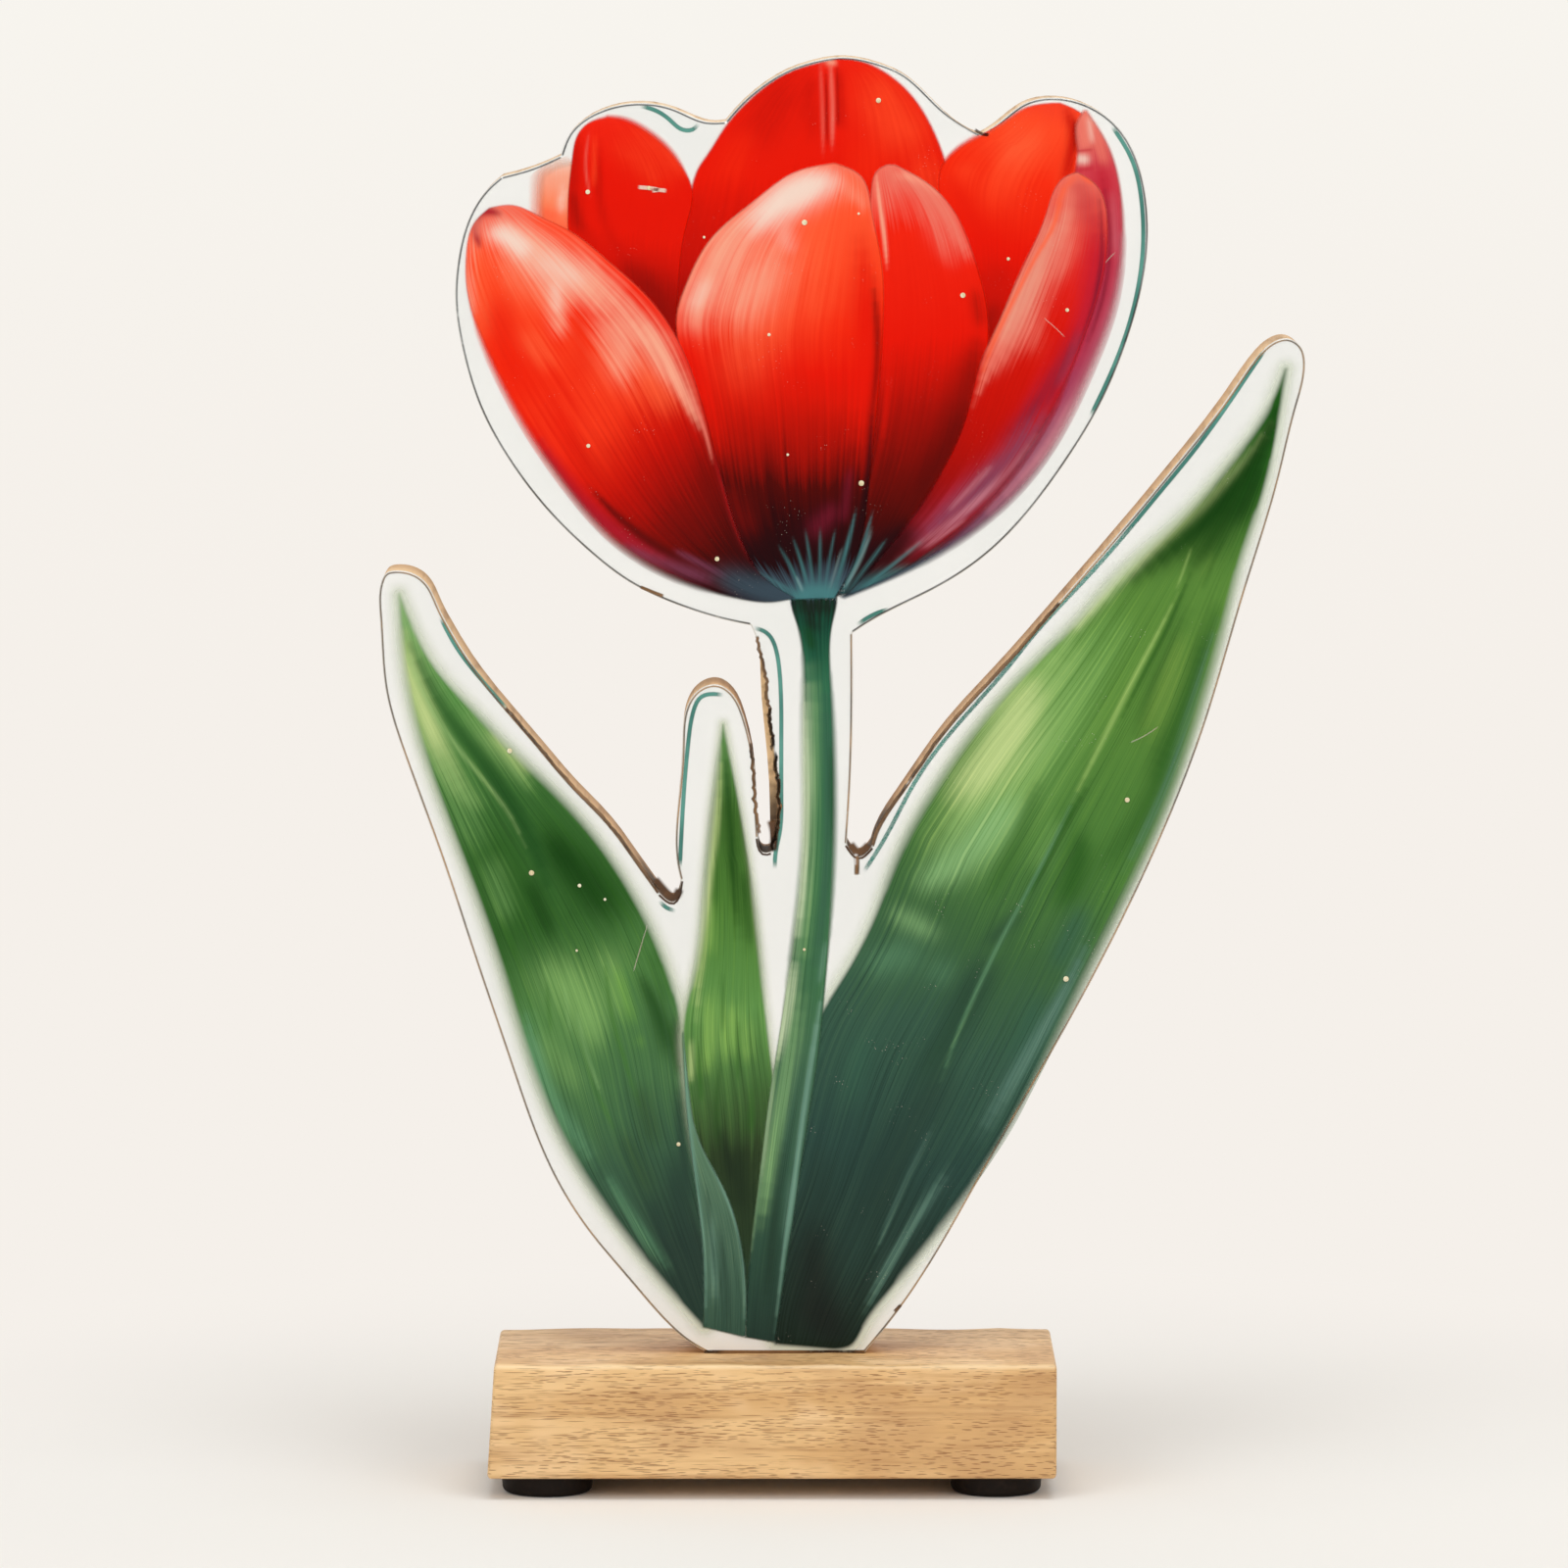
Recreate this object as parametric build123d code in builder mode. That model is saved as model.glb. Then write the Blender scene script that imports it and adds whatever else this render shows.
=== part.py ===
from build123d import *
import os

# A tulip cut out of board, with a printed and clear-coated face, on a wooden block.
# X runs to the right and Z up, and the printed face looks towards -Y. The origin is on
# the table, below the middle of the whole ornament.

# Driving dimensions of the plaque, in millimetres
plaque_width = 198.5
plaque_height = 279.5
board_thickness = 16.8
print_thickness = 0.3
coat_thickness = 0.9
coat_edge_chamfer = 0.3
cut_line_width = 0.95
saw_kerf = 0.8
saw_overcut = 4.0

# The block that the plaque stands on
base_length = 122.5
base_depth = 50
base_height = 25
base_offset = -15
base_end_lean = 1.6
base_long_edge_radius = 1.8
base_end_edge_radius = 0.9

# Stick-on rubber feet
foot_rubber_height = 4.2
foot_draft = 0.4
foot_edge_radius = 1.3
foot_inset_along = 2.75
foot_inset_across = 2.5
foot_gap_across = 5
foot_adhesive_thickness = 0.3
foot_adhesive_rim = 1
foot_diameter = (base_depth - foot_inset_across * 2 - foot_gap_across) / 2
foot_adhesive_diameter = foot_diameter - foot_adhesive_rim * 2

# Countersunk wood screws, driven up through the block into the plaque
screw_diameter = 4
screw_length = 40
screw_head_diameter = 8
screw_head_rim = 0.4
screw_head_height = 2.4
screw_point_length = 5
screw_point_diameter = 0.8
screw_spacing = 17
screw_head_angle = 90
screw_clearance = 0.25
screw_fit = 0.05
cross_slot_width = 0.9
cross_slot_length = 4.4
cross_slot_depth = 1.5

# Heights above the table, and depths in front of the middle of the block
foot_height = foot_rubber_height + foot_adhesive_thickness
plaque_foot = foot_height + base_height
plaque_thickness = board_thickness + print_thickness + coat_thickness
board_back = plaque_thickness / 2
board_front = board_thickness - board_back
print_front = board_front + print_thickness

# The sawn outline, anticlockwise from the left end of the plaque's foot. Each stretch
# is a smooth curve, or a line where it has two points, and corners lie between them.
# Points are shares of the plaque's width and height.
foot_line_shares = [(0.354, 0), (0.526, 0)]
right_leaf_edge_shares = [
    (0.526, 0), (0.558, 0.028), (0.654, 0.140), (0.757, 0.270), (0.832, 0.377),
    (0.895, 0.491), (0.937, 0.593), (0.972, 0.677), (0.991, 0.733), (1.000, 0.764),
    (0.995, 0.779), (0.981, 0.785), (0.965, 0.782), (0.948, 0.771), (0.921, 0.744),
    (0.863, 0.690), (0.799, 0.635), (0.736, 0.583), (0.672, 0.531), (0.608, 0.480),
    (0.566, 0.437), (0.537, 0.403), (0.533, 0.394),
]
right_notch_shares = [(0.533, 0.394), (0.519, 0.386), (0.506, 0.396)]
neck_right_shares = [(0.506, 0.396), (0.510, 0.441), (0.512, 0.559)]
flower_right_edge_shares = [
    (0.512, 0.559), (0.534, 0.569), (0.598, 0.592), (0.661, 0.622), (0.704, 0.654),
    (0.746, 0.695), (0.778, 0.733), (0.807, 0.782), (0.821, 0.816), (0.829, 0.850),
    (0.828, 0.891), (0.818, 0.921), (0.799, 0.945), (0.762, 0.964), (0.730, 0.969),
    (0.698, 0.965), (0.667, 0.949), (0.649, 0.941),
]
flower_top_lobe_shares = [
    (0.649, 0.941), (0.608, 0.960), (0.566, 0.987), (0.540, 0.995), (0.499, 1.000),
    (0.471, 0.997), (0.439, 0.989), (0.412, 0.977), (0.391, 0.964), (0.375, 0.951),
]
flower_left_lobe_shares = [
    (0.375, 0.951), (0.354, 0.951), (0.322, 0.960), (0.280, 0.965), (0.237, 0.958),
    (0.208, 0.942), (0.198, 0.925),
]
flower_step_shares = [(0.198, 0.925), (0.169, 0.916), (0.134, 0.909)]
flower_left_edge_shares = [
    (0.134, 0.909), (0.121, 0.901), (0.100, 0.879), (0.087, 0.846), (0.084, 0.812),
    (0.091, 0.778), (0.110, 0.733), (0.142, 0.691), (0.184, 0.652), (0.227, 0.622),
    (0.269, 0.599), (0.333, 0.578), (0.375, 0.569), (0.402, 0.565),
]
neck_left_shares = [
    (0.402, 0.565), (0.407, 0.557), (0.413, 0.518), (0.419, 0.471), (0.422, 0.441),
    (0.423, 0.411), (0.424, 0.390),
]
small_notch_shares = [(0.424, 0.390), (0.417, 0.389), (0.410, 0.401)]
small_leaf_edge_shares = [
    (0.410, 0.401), (0.408, 0.426), (0.405, 0.461), (0.394, 0.495), (0.383, 0.511),
    (0.366, 0.519), (0.346, 0.515), (0.333, 0.502), (0.328, 0.472), (0.324, 0.434),
    (0.322, 0.381), (0.326, 0.368),
]
left_notch_shares = [(0.326, 0.368), (0.317, 0.351), (0.303, 0.358)]
left_leaf_edge_shares = [
    (0.303, 0.358), (0.280, 0.381), (0.249, 0.411), (0.209, 0.441), (0.172, 0.472),
    (0.136, 0.502), (0.102, 0.533), (0.076, 0.563), (0.065, 0.578), (0.049, 0.599),
    (0.036, 0.605), (0.020, 0.607), (0.008, 0.605), (0.003, 0.599), (0.001, 0.571),
    (0.007, 0.515), (0.026, 0.467), (0.069, 0.381), (0.100, 0.313), (0.142, 0.223),
    (0.184, 0.143), (0.227, 0.093), (0.269, 0.057), (0.312, 0.022), (0.333, 0.009),
    (0.354, 0),
]
outline_shares = [
    foot_line_shares, right_leaf_edge_shares, right_notch_shares, neck_right_shares,
    flower_right_edge_shares, flower_top_lobe_shares, flower_left_lobe_shares,
    flower_step_shares, flower_left_edge_shares, neck_left_shares, small_notch_shares,
    small_leaf_edge_shares, left_notch_shares, left_leaf_edge_shares,
]

# The saw tore the face along the left of the neck, so print and coat end short of the board
torn_neck_shares = [
    [(0.407, 0.557), (0.416, 0.533), (0.421, 0.502), (0.429, 0.457), (0.431, 0.411),
     (0.424, 0.390)],
    [(0.424, 0.390), (0.416, 0.420), (0.408, 0.510), (0.407, 0.557)],
]
overcut_place_share = (0.517, 0.387)

# Printed areas, the nearest to the viewer first. Each is bounded by its stretches, and
# those further back run on behind the nearer ones, which are cut out of them.
printed_area_shares = {
    "print_leaf_left_fold": [
        [(0.328, 0.251), (0.334, 0.209), (0.346, 0.165), (0.373, 0.127), (0.390, 0.088),
         (0.396, 0.050), (0.396, 0.012)],
        [(0.396, 0.012), (0.350, 0.020)],
        [(0.350, 0.020), (0.350, 0.075), (0.341, 0.136), (0.332, 0.190), (0.328, 0.251)],
    ],
    "print_petal_front_left": [
        [(0.449, 0.586), (0.412, 0.605), (0.391, 0.631), (0.370, 0.680), (0.352, 0.729),
         (0.322, 0.786), (0.290, 0.818), (0.248, 0.845), (0.206, 0.868), (0.174, 0.879),
         (0.147, 0.887), (0.119, 0.884), (0.105, 0.874), (0.096, 0.850), (0.096, 0.827),
         (0.102, 0.805), (0.126, 0.760), (0.163, 0.711), (0.206, 0.667), (0.253, 0.630),
         (0.312, 0.603), (0.386, 0.586), (0.428, 0.583), (0.449, 0.586)],
    ],
    "print_petal_front_centre": [
        [(0.322, 0.799), (0.333, 0.827), (0.359, 0.861), (0.407, 0.891), (0.449, 0.912),
         (0.492, 0.919), (0.521, 0.909), (0.532, 0.884), (0.543, 0.842), (0.545, 0.805),
         (0.540, 0.744), (0.529, 0.669), (0.513, 0.612), (0.492, 0.586)],
        [(0.492, 0.586), (0.468, 0.582), (0.440, 0.585)],
        [(0.440, 0.585), (0.390, 0.620), (0.340, 0.740), (0.325, 0.780), (0.322, 0.799)],
    ],
    "print_petal_outer_right": [
        [(0.508, 0.590), (0.550, 0.624), (0.603, 0.677), (0.635, 0.726), (0.648, 0.763),
         (0.669, 0.797), (0.696, 0.842), (0.720, 0.880), (0.741, 0.909), (0.754, 0.912),
         (0.773, 0.903), (0.786, 0.869), (0.780, 0.827), (0.759, 0.782), (0.730, 0.733),
         (0.688, 0.684), (0.635, 0.642), (0.577, 0.612), (0.508, 0.590)],
    ],
    "print_petal_front_right": [
        [(0.532, 0.902), (0.539, 0.915), (0.557, 0.918), (0.592, 0.904), (0.624, 0.879),
         (0.642, 0.848), (0.657, 0.805), (0.656, 0.767), (0.636, 0.700), (0.560, 0.620),
         (0.508, 0.589)],
        [(0.508, 0.589), (0.484, 0.586)],
        [(0.484, 0.586), (0.520, 0.744), (0.532, 0.902)],
    ],
    "print_petal_far_right": [
        [(0.500, 0.587), (0.561, 0.603), (0.635, 0.633), (0.693, 0.669), (0.738, 0.714),
         (0.769, 0.760), (0.795, 0.812), (0.803, 0.865), (0.801, 0.891), (0.786, 0.933),
         (0.762, 0.960)],
        [(0.762, 0.960), (0.752, 0.950), (0.755, 0.925), (0.748, 0.905)],
        [(0.748, 0.905), (0.760, 0.850), (0.700, 0.720), (0.620, 0.650), (0.500, 0.587)],
    ],
    "print_petal_back_right": [
        [(0.610, 0.921), (0.635, 0.935), (0.667, 0.946), (0.704, 0.963), (0.736, 0.964),
         (0.762, 0.960)],
        [(0.762, 0.960), (0.768, 0.900), (0.700, 0.790), (0.650, 0.750)],
        [(0.650, 0.750), (0.635, 0.790), (0.618, 0.860), (0.610, 0.921)],
    ],
    "print_petal_back_left": [
        [(0.206, 0.862), (0.207, 0.903), (0.210, 0.921), (0.218, 0.943), (0.231, 0.951),
         (0.259, 0.953), (0.290, 0.945), (0.315, 0.930), (0.333, 0.911), (0.339, 0.901)],
        [(0.339, 0.901), (0.333, 0.872), (0.325, 0.835), (0.320, 0.770)],
        [(0.320, 0.770), (0.260, 0.820), (0.206, 0.862)],
    ],
    "print_petal_back_centre": [
        [(0.339, 0.901), (0.345, 0.914), (0.356, 0.926), (0.375, 0.947), (0.402, 0.968),
         (0.439, 0.987), (0.490, 0.998), (0.513, 0.998), (0.545, 0.989), (0.577, 0.969),
         (0.601, 0.940), (0.610, 0.921)],
        [(0.610, 0.921), (0.620, 0.880), (0.560, 0.850), (0.440, 0.820), (0.340, 0.770),
         (0.318, 0.765)],
        [(0.318, 0.765), (0.320, 0.835), (0.328, 0.872), (0.339, 0.901)],
    ],
    "print_petal_sliver": [
        [(0.173, 0.870), (0.172, 0.899), (0.178, 0.915), (0.199, 0.921), (0.213, 0.922)],
        [(0.213, 0.922), (0.213, 0.860), (0.173, 0.870)],
    ],
    "print_stem": [
        [(0.445, 0.600), (0.445, 0.584), (0.452, 0.566), (0.459, 0.502), (0.459, 0.403),
         (0.447, 0.319), (0.435, 0.258), (0.422, 0.197), (0.410, 0.128), (0.400, 0.067),
         (0.396, 0.012)],
        [(0.396, 0.012), (0.428, 0.008)],
        [(0.428, 0.008), (0.442, 0.075), (0.461, 0.167), (0.474, 0.228), (0.483, 0.289),
         (0.491, 0.365), (0.493, 0.441), (0.489, 0.517), (0.490, 0.566), (0.495, 0.584),
         (0.495, 0.600)],
        [(0.495, 0.600), (0.445, 0.600)],
    ],
    "print_leaf_small": [
        [(0.372, 0.489), (0.362, 0.441), (0.351, 0.365), (0.342, 0.304), (0.328, 0.251)],
        [(0.328, 0.251), (0.332, 0.209), (0.350, 0.140), (0.385, 0.060), (0.390, 0.020)],
        [(0.390, 0.020), (0.400, 0.020)],
        [(0.400, 0.020), (0.412, 0.100), (0.424, 0.150), (0.430, 0.190), (0.426, 0.220),
         (0.418, 0.266), (0.410, 0.327), (0.399, 0.388), (0.386, 0.441), (0.372, 0.489)],
    ],
    "print_leaf_left": [
        [(0.022, 0.590), (0.025, 0.548), (0.040, 0.487), (0.068, 0.426), (0.100, 0.365),
         (0.131, 0.300), (0.158, 0.236), (0.184, 0.186), (0.227, 0.130), (0.269, 0.088),
         (0.312, 0.050), (0.350, 0.020)],
        [(0.350, 0.020), (0.355, 0.075), (0.346, 0.136), (0.332, 0.209), (0.328, 0.251)],
        [(0.328, 0.251), (0.312, 0.297), (0.269, 0.363), (0.227, 0.407), (0.184, 0.441),
         (0.142, 0.470), (0.100, 0.501), (0.057, 0.536), (0.031, 0.574), (0.022, 0.590)],
    ],
    "print_leaf_right": [
        [(0.979, 0.763), (0.958, 0.729), (0.916, 0.688), (0.863, 0.646), (0.799, 0.605),
         (0.757, 0.571), (0.693, 0.525), (0.635, 0.476), (0.592, 0.430), (0.561, 0.388),
         (0.537, 0.342), (0.508, 0.300), (0.472, 0.256), (0.440, 0.150), (0.414, 0.030)],
        [(0.414, 0.030), (0.428, 0.008)],
        [(0.428, 0.008), (0.462, 0.004), (0.492, 0.002), (0.511, 0.005), (0.524, 0.019)],
        [(0.524, 0.019), (0.550, 0.045), (0.592, 0.082), (0.651, 0.136), (0.714, 0.213),
         (0.765, 0.289), (0.817, 0.365), (0.863, 0.441), (0.897, 0.517), (0.914, 0.563),
         (0.932, 0.616), (0.953, 0.661), (0.969, 0.711), (0.979, 0.763)],
    ],
}

# The printed line that guides the saw, where the saw left it standing
cut_line_shares = [
    [(0.282, 0.963), (0.301, 0.959), (0.317, 0.951), (0.328, 0.945), (0.340, 0.945),
     (0.347, 0.950)],
    [(0.790, 0.948), (0.812, 0.922), (0.823, 0.888), (0.824, 0.850), (0.815, 0.810),
     (0.797, 0.770), (0.768, 0.725)],
    [(0.404, 0.563), (0.411, 0.562), (0.421, 0.558), (0.429, 0.547), (0.433, 0.530),
     (0.435, 0.480), (0.435, 0.430), (0.433, 0.404), (0.429, 0.390), (0.428, 0.376)],
    [(0.553, 0.578), (0.534, 0.573), (0.516, 0.565)],
    [(0.957, 0.777), (0.949, 0.769), (0.931, 0.750), (0.912, 0.730), (0.879, 0.698),
     (0.841, 0.665), (0.798, 0.628), (0.751, 0.591), (0.705, 0.555), (0.684, 0.536),
     (0.608, 0.473), (0.575, 0.438), (0.550, 0.404), (0.534, 0.385), (0.524, 0.374)],
    [(0.066, 0.572), (0.084, 0.548), (0.112, 0.522), (0.140, 0.499)],
    [(0.325, 0.377), (0.330, 0.441), (0.335, 0.479), (0.340, 0.499), (0.349, 0.510),
     (0.360, 0.512), (0.374, 0.511)],
    [(0.302, 0.353), (0.310, 0.347), (0.322, 0.344)],
]


def plaque_point(share):
    """A point of the plaque's face from its shares of the width and the height."""
    share_across, share_up = share
    return share_across * plaque_width - plaque_width / 2, plaque_foot + share_up * plaque_height


def face_of(stretches):
    """A flat face inside a closed run of lines, of two points each, and smooth curves."""
    with BuildSketch(mode=Mode.PRIVATE) as outlined:
        with BuildLine():
            for shares in stretches:
                points = [plaque_point(share) for share in shares]
                if len(points) == 2:
                    Line(*points)
                else:
                    Spline(*points)
        make_face()
    return outlined.sketch_local


# The sawn outline of the board, and the smaller one of the print and coat
with BuildSketch(mode=Mode.PRIVATE) as sawn_outline:
    add(face_of(outline_shares))
    with Locations(plaque_point(overcut_place_share)):
        Rectangle(saw_kerf, saw_overcut * 2, mode=Mode.SUBTRACT)

with BuildSketch(mode=Mode.PRIVATE) as face_outline:
    add(sawn_outline.sketch_local)
    add(face_of(torn_neck_shares), mode=Mode.SUBTRACT)

# The screws stand side by side, midway along the plaque's foot and through the board
screw_middle_x = sum(share for share, _ in foot_line_shares) * plaque_width / 2 - plaque_width / 2
screw_middle_y = board_back - board_thickness / 2
screw_top = foot_height + screw_length

# Block, with its left end sawn out of square and its edges eased
left_end = base_offset - base_length / 2
right_end = base_offset + base_length / 2
with BuildPart() as base_block:
    with BuildSketch(Plane.XZ.offset(-base_depth / 2)):
        Polygon(
            (left_end, foot_height),
            (right_end, foot_height),
            (right_end, plaque_foot),
            (left_end + base_end_lean, plaque_foot),
            align=None,
        )
    extrude(amount=base_depth)
    fillet(base_block.edges().filter_by(Axis.X), base_long_edge_radius)
    fillet(base_block.faces().sort_by(Axis.X)[0].edges(), base_end_edge_radius)
    fillet(base_block.faces().sort_by(Axis.X)[-1].edges(), base_end_edge_radius)
    with Locations(Plane((screw_middle_x, screw_middle_y, foot_height), z_dir=(0, 0, -1))):
        with GridLocations(screw_spacing, 0, 2, 1):
            CounterSinkHole(
                radius=screw_diameter / 2 + screw_clearance,
                counter_sink_radius=screw_head_diameter / 2 + screw_head_rim + screw_fit,
                counter_sink_angle=screw_head_angle,
            )
base_block.part.label = "base_block"

# Board, with pilot holes up from its foot
with BuildPart() as tulip_board:
    with BuildSketch(Plane.XZ.offset(-board_back)):
        add(sawn_outline.sketch_local)
    extrude(amount=board_thickness)
    with BuildSketch(Plane.XY.offset(plaque_foot)):
        with Locations((screw_middle_x, screw_middle_y)):
            with GridLocations(screw_spacing, 0, 2, 1):
                Circle(screw_diameter / 2 + screw_fit)
    extrude(amount=screw_top - plaque_foot, mode=Mode.SUBTRACT)
tulip_board.part.label = "tulip_board"

# Saw line, printed over the rest
with BuildSketch(mode=Mode.PRIVATE) as cut_line:
    for guide_shares in cut_line_shares:
        with BuildLine():
            Spline(*[plaque_point(share) for share in guide_shares])
        trace(line_width=cut_line_width)

with BuildPart() as print_cut_line:
    with BuildSketch(Plane.XZ.offset(board_front)):
        add(cut_line.sketch_local)
        add(face_outline.sketch_local, mode=Mode.INTERSECT)
    extrude(amount=print_thickness)
print_cut_line.part.label = "print_cut_line"

# Coloured areas, each cut back by those nearer the viewer
printed_areas = []
nearer_faces = cut_line.sketch_local
for area_name, area_stretches in printed_area_shares.items():
    area_face = face_of(area_stretches)
    with BuildPart() as printed_area:
        with BuildSketch(Plane.XZ.offset(board_front)):
            add(area_face)
            add(face_outline.sketch_local, mode=Mode.INTERSECT)
            add(nearer_faces, mode=Mode.SUBTRACT)
        extrude(amount=print_thickness)
    printed_area.part.label = area_name
    printed_areas.append(printed_area)
    with BuildSketch(mode=Mode.PRIVATE) as joined_faces:
        add(nearer_faces)
        add(area_face)
    nearer_faces = joined_faces.sketch_local

# White ground of the print, round all the coloured areas
with BuildPart() as print_ground:
    with BuildSketch(Plane.XZ.offset(board_front)):
        add(face_outline.sketch_local)
        add(nearer_faces, mode=Mode.SUBTRACT)
    extrude(amount=print_thickness)
print_ground.part.label = "print_ground"

# Clear coat over the whole print, with an eased front edge
with BuildPart() as clear_coat:
    with BuildSketch(Plane.XZ.offset(print_front)):
        add(face_outline.sketch_local)
    extrude(amount=coat_thickness)
    chamfer(clear_coat.faces().sort_by(Axis.Y)[0].edges(), coat_edge_chamfer)
clear_coat.part.label = "clear_coat"

# Rubber feet near the block's corners, a little narrower at the table, each on its own
# disc of adhesive
foot_spacing_along = base_length - foot_diameter - foot_inset_along * 2
foot_spacing_across = base_depth - foot_diameter - foot_inset_across * 2
foot_pieces = []
for foot_index, place in enumerate(GridLocations(foot_spacing_along, foot_spacing_across, 2, 2)):
    foot_centre = (base_offset + place.position.X, place.position.Y)
    with BuildPart() as foot_pad:
        with BuildSketch(Plane.XY):
            with Locations(foot_centre):
                Circle(foot_diameter / 2 - foot_draft)
        with BuildSketch(Plane.XY.offset(foot_rubber_height)):
            with Locations(foot_centre):
                Circle(foot_diameter / 2)
        loft(ruled=True)
        fillet(foot_pad.edges().group_by(Axis.Z)[0], foot_edge_radius)
    foot_pad.part.label = f"foot_pad_{foot_index + 1}"
    with BuildPart() as foot_adhesive:
        with BuildSketch(Plane.XY.offset(foot_rubber_height)):
            with Locations(foot_centre):
                Circle(foot_adhesive_diameter / 2)
        extrude(amount=foot_adhesive_thickness)
    foot_adhesive.part.label = f"foot_adhesive_{foot_index + 1}"
    foot_pieces += [foot_pad, foot_adhesive]

# Countersunk screws with a cross recess
with BuildPart() as wood_screws:
    for place in GridLocations(screw_spacing, 0, 2, 1):
        screw_foot = (screw_middle_x + place.position.X, screw_middle_y, foot_height)
        with BuildSketch(Plane(screw_foot, x_dir=(1, 0, 0), z_dir=(0, -1, 0))):
            Polygon(
                (0, 0),
                (screw_head_diameter / 2, 0),
                (screw_head_diameter / 2, screw_head_rim),
                (screw_diameter / 2, screw_head_height),
                (screw_diameter / 2, screw_length - screw_point_length),
                (screw_point_diameter / 2, screw_length),
                (0, screw_length),
                align=None,
            )
        revolve(axis=Axis(screw_foot, (0, 0, 1)))
        with BuildSketch(Plane(screw_foot)):
            Rectangle(cross_slot_length, cross_slot_width)
            Rectangle(cross_slot_width, cross_slot_length)
        extrude(amount=cross_slot_depth, mode=Mode.SUBTRACT)
wood_screws.part.label = "wood_screws"

os.makedirs("parts", exist_ok=True)
face_pieces = [tulip_board, print_ground, print_cut_line, clear_coat]
for piece in [base_block, wood_screws, *face_pieces, *printed_areas, *foot_pieces]:
    export_step(piece.part, f"parts/{piece.part.label}.step")
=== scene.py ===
import math

import bmesh
import bpy
import numpy as np
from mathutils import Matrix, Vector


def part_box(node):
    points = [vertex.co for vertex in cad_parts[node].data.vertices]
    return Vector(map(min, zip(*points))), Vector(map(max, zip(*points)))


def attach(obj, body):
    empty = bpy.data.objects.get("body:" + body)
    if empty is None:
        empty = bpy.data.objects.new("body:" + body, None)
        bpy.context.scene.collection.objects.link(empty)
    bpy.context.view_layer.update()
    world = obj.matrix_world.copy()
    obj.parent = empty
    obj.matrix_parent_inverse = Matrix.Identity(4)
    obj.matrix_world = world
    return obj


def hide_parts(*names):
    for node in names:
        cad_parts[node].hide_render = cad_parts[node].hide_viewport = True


# A tulip sawn out of board, with a printed face under a clear coat, on a hardwood block.
# The face looks towards -Y. Lengths are metres, and a length on the face may be given in
# the 1600-pixel frame of the photograph, where one millimetre is about 4.75 pixels.

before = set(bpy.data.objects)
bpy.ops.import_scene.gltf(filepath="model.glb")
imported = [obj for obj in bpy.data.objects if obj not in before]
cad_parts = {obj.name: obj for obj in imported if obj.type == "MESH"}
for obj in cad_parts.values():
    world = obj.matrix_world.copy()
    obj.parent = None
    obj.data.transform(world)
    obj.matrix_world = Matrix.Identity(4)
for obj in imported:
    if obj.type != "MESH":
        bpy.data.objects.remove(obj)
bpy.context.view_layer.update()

# The face of the plaque, and the rows and columns that it spans in the photograph

face_low, face_high = (np.array(corner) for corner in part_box("clear_coat"))
face_width, face_height = face_high[0] - face_low[0], face_high[2] - face_low[2]
face_front = face_low[1]
left_column, face_columns = 386, 943.5
foot_row, face_rows, row_bow = 1377, 1317, 0.014
pixel = 0.1985 / face_columns
layer_step = 0.00002


# Colours, as a screen shows them

def tone(red, green, blue):
    """A screen colour of 0 to 255 as the linear colour that a socket takes."""
    share = np.array([red, green, blue]) / 255
    linear = np.where(share <= 0.04045, share / 12.92, ((share + 0.055) / 1.055) ** 2.4)
    return (*linear.tolist(), 1.0)


scarlet = tone(230, 18, 0)
bright_red = tone(244, 40, 8)
flame = tone(252, 70, 32)
deep_red = tone(196, 12, 0)
blood_red = tone(128, 6, 0)
maroon = tone(72, 2, 0)
soot = tone(30, 2, 6)
orange = tone(252, 98, 56)
peach = tone(246, 168, 140)
cream = tone(243, 214, 198)
rose = tone(236, 122, 104)
crimson = tone(190, 26, 46)
wine = tone(120, 22, 44)
plum = tone(124, 66, 92)
mist = tone(206, 130, 142)
slate = tone(58, 76, 88)
petal_teal = tone(70, 124, 126)
pale_leaf = tone(186, 206, 136)
fresh_leaf = tone(126, 170, 84)
deep_leaf = tone(44, 92, 32)
dark_leaf = tone(14, 60, 8)
sea_leaf = tone(56, 92, 76)
night_leaf = tone(36, 58, 50)
black_leaf = tone(20, 34, 24)
frost_leaf = tone(112, 152, 134)
ground_white = tone(241, 240, 236)
saw_teal = tone(92, 158, 144)


# Materials

class Number:
    """A number or colour on its way through a material. Sums on it add Math nodes."""

    def __init__(self, finish, socket):
        self.finish, self.socket = finish, socket

    def sum_of(self, operation, *values):
        return self.finish.node("ShaderNodeMath", {"operation": operation}, dict(enumerate(values)))

    def __add__(self, other):
        return self.sum_of("ADD", self, other)

    def __sub__(self, other):
        return self.sum_of("SUBTRACT", self, other)

    def __mul__(self, other):
        return self.sum_of("MULTIPLY", self, other)

    def __pow__(self, other):
        return self.sum_of("POWER", self, other)

    def __rsub__(self, other):
        return self.sum_of("SUBTRACT", other, self)

    __radd__ = __add__
    __rmul__ = __mul__

    def largest(self, other):
        return self.sum_of("MAXIMUM", self, other)

    def rise(self, low, high):
        """From 0 at low to 1 at high, eased at both ends."""
        return self.finish.node(
            "ShaderNodeMapRange", {"interpolation_type": "SMOOTHSTEP"}, {0: self, 1: low, 2: high}
        )


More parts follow.
